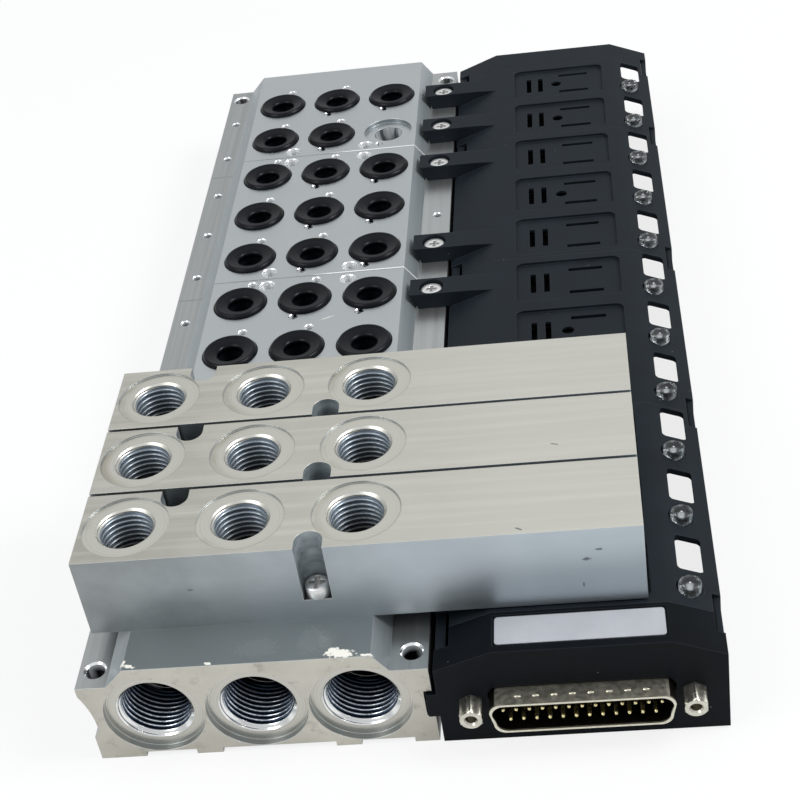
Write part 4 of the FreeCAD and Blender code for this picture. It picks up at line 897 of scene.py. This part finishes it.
def clear_resin(name):
    material, tree, shader, place = new_material(name)
    clouds = noise(tree, place, 700.0)
    tree.links.new(mix_colours(tree, clouds, shade(176, 184, 188), shade(206, 212, 214)),
                   shader.inputs["Base Color"])
    tree.links.new(ramp(tree, clouds, 0.3, 0.7, 0.24, 0.36), shader.inputs["Roughness"])
    shader.inputs["Transmission Weight"].default_value = 1.0
    shader.inputs["IOR"].default_value = 1.49
    return material


seat_low, seat_high = solids_of("seals_position_1")[1]
SEAT = (seat_low + seat_high) / 2
deck_metal = manifold_metal()
block_metal = block_metal_finish()
end_thread_metal = tapped_metal("tapped end thread", shade(66, 80, 98), shade(232, 236, 240),
                                shade(34, 42, 52), shade(232, 233, 232), 0.18, 1.0)
block_thread_metal = tapped_metal("tapped block thread", shade(104, 116, 127), shade(166, 174, 180),
                                  shade(50, 48, 46), shade(206, 205, 198), 0.36, 0.7)
screw_metal = bright_metal("nickel-plated screws", shade(240, 240, 238), 0.3, 0.8)
jack_metal = bright_metal("nickel-plated jack screws", shade(214, 211, 198), 0.24)
shell_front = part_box("connector_shell")[0].y / MM
# The plug shell's mouth, painted dark inside as painted shade
shell_mouth = ((50, shell_front + 0.4, DSUB_MIDDLE - DSUB_INNER),
               (90, shell_front + 20, DSUB_MIDDLE + DSUB_INNER))
connector_metal = bright_metal("dull connector plating", shade(224, 220, 203), 0.32, painted_shade_within=shell_mouth)
gold = bright_metal("gold contacts", shade(240, 228, 176), 0.22)
black_plastic = plastic("black housing plastic", shade(20, 26, 32), shade(26, 33, 39), roughness=0.55,
                        edge=0.12, gloss=0.15, dust=0.5)
# The near end cap's plastic is the housing plastic painted darker, as painted shade
shaded_cap_plastic = plastic("black end cap plastic painted darker", shade(9, 13, 17), shade(13, 18, 23), edge=0.14, gloss=0.08,
                      dust=0.5)
inner_plastic = plastic("dark inner plastic", shade(8, 9, 11), shade(12, 13, 15), roughness=0.6, edge=0.05,
                        gloss=0.15)
black_rubber = plastic("black seal rubber", shade(5, 8, 12), shade(8, 12, 17), 4000.0, 0.3, 0.04, 0.17)
label_film = plastic("silver label film", shade(169, 171, 176), shade(180, 182, 187), 3000.0, 0.35, 0.0)
green_board = plastic("green board", shade(22, 80, 50), shade(26, 92, 58), 2500.0, 0.35, 0.1)
lens_resin = clear_resin("clear lens resin")
# The gate mark's frosted white is partly a painted highlight
gate_highlight_resin = plastic("frosted gate mark with painted highlight", shade(224, 227, 228), shade(236, 238, 238), 6000.0, 0.4, 0.0)


# Finishes on the frame's pieces; a name that holds none of these is black plastic

finishes = {
    "circuit_board": green_board, "connector_board": green_board, "coil_sockets": inner_plastic,
    "board_links": inner_plastic, "connector_insulator": inner_plastic, "screws": screw_metal,
    "joint_pins": screw_metal, "far_port_plugs": screw_metal, "connector_shell": connector_metal,
    "connector_pins": gold, "light_guides": lens_resin, "label_plate": label_film, "seals": black_rubber,
    "channel_rings": black_rubber}
for name, piece in NODES.items():
    matching = [finish for part, finish in finishes.items() if part in name]
    piece.data.materials.clear()
    piece.data.materials.append(matching[0] if matching else black_plastic)

end_bores = tapped_bores("end_port", END_LEAD)
block_bores = tapped_bores("block_", BLOCK_LEAD)
for number in range(1, 5):
    dress(f"manifold_module_{number}", deck_metal, end_bores if number == 1 else ())
    dress(f"cover_module_{number}", black_plastic)
for number in range(1, 4):
    dress(f"supply_block_{number}", block_metal, block_bores)
for name, finish in (("near_end_cap", shaded_cap_plastic), ("far_end_cap", black_plastic),
                     ("joint_grub_screws", screw_metal), ("far_port_plugs", screw_metal)):
    dress(name, finish)

dimples = [(spot(DIMPLE_FIRST + DIMPLE_PITCH * step, DIMPLES_AT, DSUB_TOP), spot(*DIMPLE_HALF))
           for step in range(DSUB_DIMPLES)]
dress("connector_shell", connector_metal, dimples=dimples)

threads = thread_tree()
grow("end_port_threads", threads, [bore[0] for bore in end_bores], end_thread_metal,
     Turn=(math.pi / 2, 0.0, 0.0), Core_Radius=end_bores[0][2] / MM, Length=THREAD_DEEP, Lead=END_LEAD)
grow("block_port_threads", threads, [bore[0] for bore in block_bores], block_thread_metal,
     Core_Radius=block_bores[0][2] / MM, Length=THREAD_DEEP, Lead=BLOCK_LEAD)

# Seals with a slanted rim, a narrow lip and a dish that runs into the bore

seal_tree = turned_tree("turned seal", SEAL_OUTLINE)
for position in range(1, 12):
    name = f"seals_position_{position}"
    places = [((low.x + high.x) / 2, (low.y + high.y) / 2, DECK * MM) for low, high in solids_of(name)]
    piece = grow(f"{name}_turned", seal_tree, places, black_rubber, Around=48)
    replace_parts(piece, name)


# Screws, jack screws and contacts

def crossed_screws(name, radius, high, cross, stem):
    """Round-topped screws with a cross recess, one on each screw of the node."""
    outline = [(0.0, -stem), (1.05, -stem), (1.05, 0.0), (radius - 0.1, 0.0), (radius, 0.1),
               (radius, high - 0.55), (radius - 0.15, high - 0.3), (radius - 0.5, high - 0.12),
               (radius - 1.2, high - 0.03), (0.0, high)]
    places = [top_of(box) - Vector((0, 0, high * MM)) for box in solids_of(name)]
    piece = grow(f"{name}_crossed", turned_tree(name, outline, crossed=True), places, screw_metal,
                 Around=32, Recess=cross, Recess_Deep=cross * 0.6)
    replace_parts(piece, name)


crossed_screws("arm_screws", 3.05, 1.8, 2.6, 8.5)
crossed_screws("supply_block_screws", 2.7, 3.0, 3.6, 12.0)


def jack_screw(made, box):
    """A hexagonal jack screw with a chamfered nose and a countersunk bore, and its stud behind."""
    low, high = box
    middle = (low + high) / 2
    bore, flat = JACK_BORE / 2, JACK_FLATS / 2
    stud = (high.y - low.y) / MM
    # Each ring's half width, its way back from the nose, and whether it is hexagonal
    rings = ((0.0, 4.0, 0), (bore, 4.0, 0), (bore, 0.45, 0), (bore + 0.35, 0.0, 0), (flat - 0.1, 0.0, 0),
             (flat, 0.08, 0), (flat, 0.42, 1), (flat, JACK_LONG, 1), (JACK_STUD, JACK_LONG, 0),
             (JACK_STUD, stud, 0), (0.0, stud, 0))
    around = 48
    loops = []
    for half, back, hexagonal in rings:
        loop = []
        for step in range(around):
            angle = math.tau * step / around
            reach = half
            if hexagonal:
                reach = half / math.cos((angle + math.pi / 6) % (math.pi / 3) - math.pi / 6)
            loop.append(made.verts.new((middle.x + reach * MM * math.cos(angle), low.y + back * MM,
                                        middle.z + reach * MM * math.sin(angle))))
        loops.append(loop)
    for first, second in zip(loops, loops[1:]):
        for step in range(around):
            after = (step + 1) % around
            made.faces.new((first[step], first[after], second[after], second[step]))


def turned_jack_screws():
    made = bmesh.new()
    for box in solids_of("connector_jack_screws"):
        jack_screw(made, box)
    bmesh.ops.remove_doubles(made, verts=made.verts, dist=1e-7)
    bmesh.ops.recalc_face_normals(made, faces=made.faces)
    mesh = mesh_from(made, "connector_jack_screws_turned")
    smooth_up_to(mesh, JACK_CORNER)
    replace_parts(add_piece("connector_jack_screws_turned", mesh, jack_metal), "connector_jack_screws")


def turned_pins():
    boxes = solids_of("connector_pins")
    long = (boxes[0][1].y - boxes[0][0].y) / MM
    outline = [(0.0, -long), (0.5, -long), (0.5, -long / 2), (0.5, -0.8), (0.45, -0.42), (0.33, -0.16),
               (0.16, -0.03), (0.0, 0.0)]
    places = [((low.x + high.x) / 2, low.y, (low.z + high.z) / 2) for low, high in boxes]
    piece = grow("connector_pins_turned", turned_tree("contact pin", outline), places, gold,
                 Turn=(math.pi / 2, 0.0, 0.0), Around=20)
    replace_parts(piece, "connector_pins")


turned_jack_screws()
turned_pins()


# Light guides: a clear round head with a rolled edge, its stem, and the bar to the board

def turned_light_guides():
    boxes = solids_of("light_guides")
    places = [Vector((high.x - LENS_RADIUS * MM, (low.y + high.y) / 2, LENS_SEAT * MM))
              for low, high in boxes]
    heads = grow("light_guides_turned", turned_tree("light guide head", LENS_OUTLINE), places, lens_resin,
                 Around=48)
    made = bmesh.new()
    made.from_mesh(heads.data)
    for (low, _), place in zip(boxes, places):
        start = Vector((low.x, place.y - 1.0 * MM, low.z))
        end = Vector((place.x - 1.3 * MM, place.y + 1.0 * MM, low.z + 1.4 * MM))
        placed = Matrix.Translation((start + end) / 2) @ Matrix.Diagonal((*(end - start), 1.0))
        bmesh.ops.create_cube(made, size=1.0, matrix=placed)
    made.to_mesh(heads.data)
    made.free()
    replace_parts(heads, "light_guides")
    # A frosted white gate mark on each head, its white partly a painted highlight
    tops = [place + spot(0, 0, LENS_HIGH - LENS_DISH) for place in places]
    grow("light_guide_gate_highlights", turned_tree("gate mark", GATE_OUTLINE), tops, gate_highlight_resin, Around=16)


turned_light_guides()


# Floor, light and camera

def white_backdrop_share(tree):
    """How much of the white backdrop a ray sees: all from the camera and through glass, a part in metal."""
    path = tree.nodes.new("ShaderNodeLightPath").outputs
    return any_of(tree, path["Is Camera Ray"], path["Is Transmission Ray"],
                  both(tree, path["Is Glossy Ray"], 0.35))


def add_floor():
    mesh = bpy.data.meshes.new("floor")
    mesh.from_pydata([(-3, -3, 0), (3, -3, 0), (3, 3, 0), (-3, 3, 0)], [], [(0, 1, 2, 3)])
    floor = put_in_scene("floor", mesh)
    material, tree, shader, _ = new_material("pale floor")
    shader.inputs["Base Color"].default_value = (0.86, 0.86, 0.86, 1)
    shader.inputs["Roughness"].default_value = 0.9
    shader.inputs["Specular IOR Level"].default_value = 0.1
    glow = node(tree, "ShaderNodeEmission", Color=(1.0, 1.0, 1.0, 1.0), Strength=1.0)
    share = both(tree, white_backdrop_share(tree), 0.82)
    mixed = node(tree, "ShaderNodeMixShader", i0=share, i1=shader, i2=glow)
    tree.links.new(mixed.outputs[0], tree.nodes["Material Output"].inputs["Surface"])
    mesh.materials.append(material)


def add_light(name, place, target, size, watts):
    lamp = bpy.data.lights.new(name, "AREA")
    lamp.energy = watts
    lamp.shape = "DISK"
    lamp.size = size
    holder = put_in_scene(name, lamp)
    holder.location = place
    holder.rotation_euler = (Vector(target) - Vector(place)).to_track_quat("-Z", "Y").to_euler()


def add_world():
    """Even light from all round, a little stronger from above; the camera sees white."""
    world = bpy.data.worlds.new("studio")
    bpy.context.scene.world = world
    world.use_nodes = True
    tree = world.node_tree
    background = tree.nodes["Background"]
    background.inputs["Color"].default_value = (0.93, 0.965, 1.0, 1)
    height = parts_of(tree, tree.nodes.new("ShaderNodeTexCoord").outputs["Generated"])[2]
    tree.links.new(ramp(tree, height, 0.1, 0.9, 0.42, 0.75), background.inputs["Strength"])
    white = node(tree, "ShaderNodeBackground", Color=(1.0, 1.0, 1.0, 1.0), Strength=1.0)
    mixed = node(tree, "ShaderNodeMixShader", i0=white_backdrop_share(tree), i1=background,
                 i2=white)
    tree.links.new(mixed.outputs[0], tree.nodes["World Output"].inputs["Surface"])


def add_camera():
    """The photograph's viewpoint: 37 degrees above the base and 9 degrees to the right of the row."""
    lens = bpy.data.cameras.new("photograph")
    lens.sensor_width = 36.0
    lens.lens = 78.13
    camera = put_in_scene("photograph", lens)
    camera.location = (0.080823, -0.393104, 0.285272)
    camera.rotation_euler = [math.radians(turn) for turn in (52.996, 7.721, 2.821)]
    bpy.context.scene.camera = camera


add_floor()
add_world()
add_light("high right", (0.85, -0.1, 0.85), (0.0, 0.0, 0.02), 0.5, 8.0)
add_light("high left", (-0.7, -0.5, 0.8), (0.0, 0.0, 0.02), 0.7, 4.0)
add_camera()
bpy.context.scene.view_settings.view_transform = "Standard"
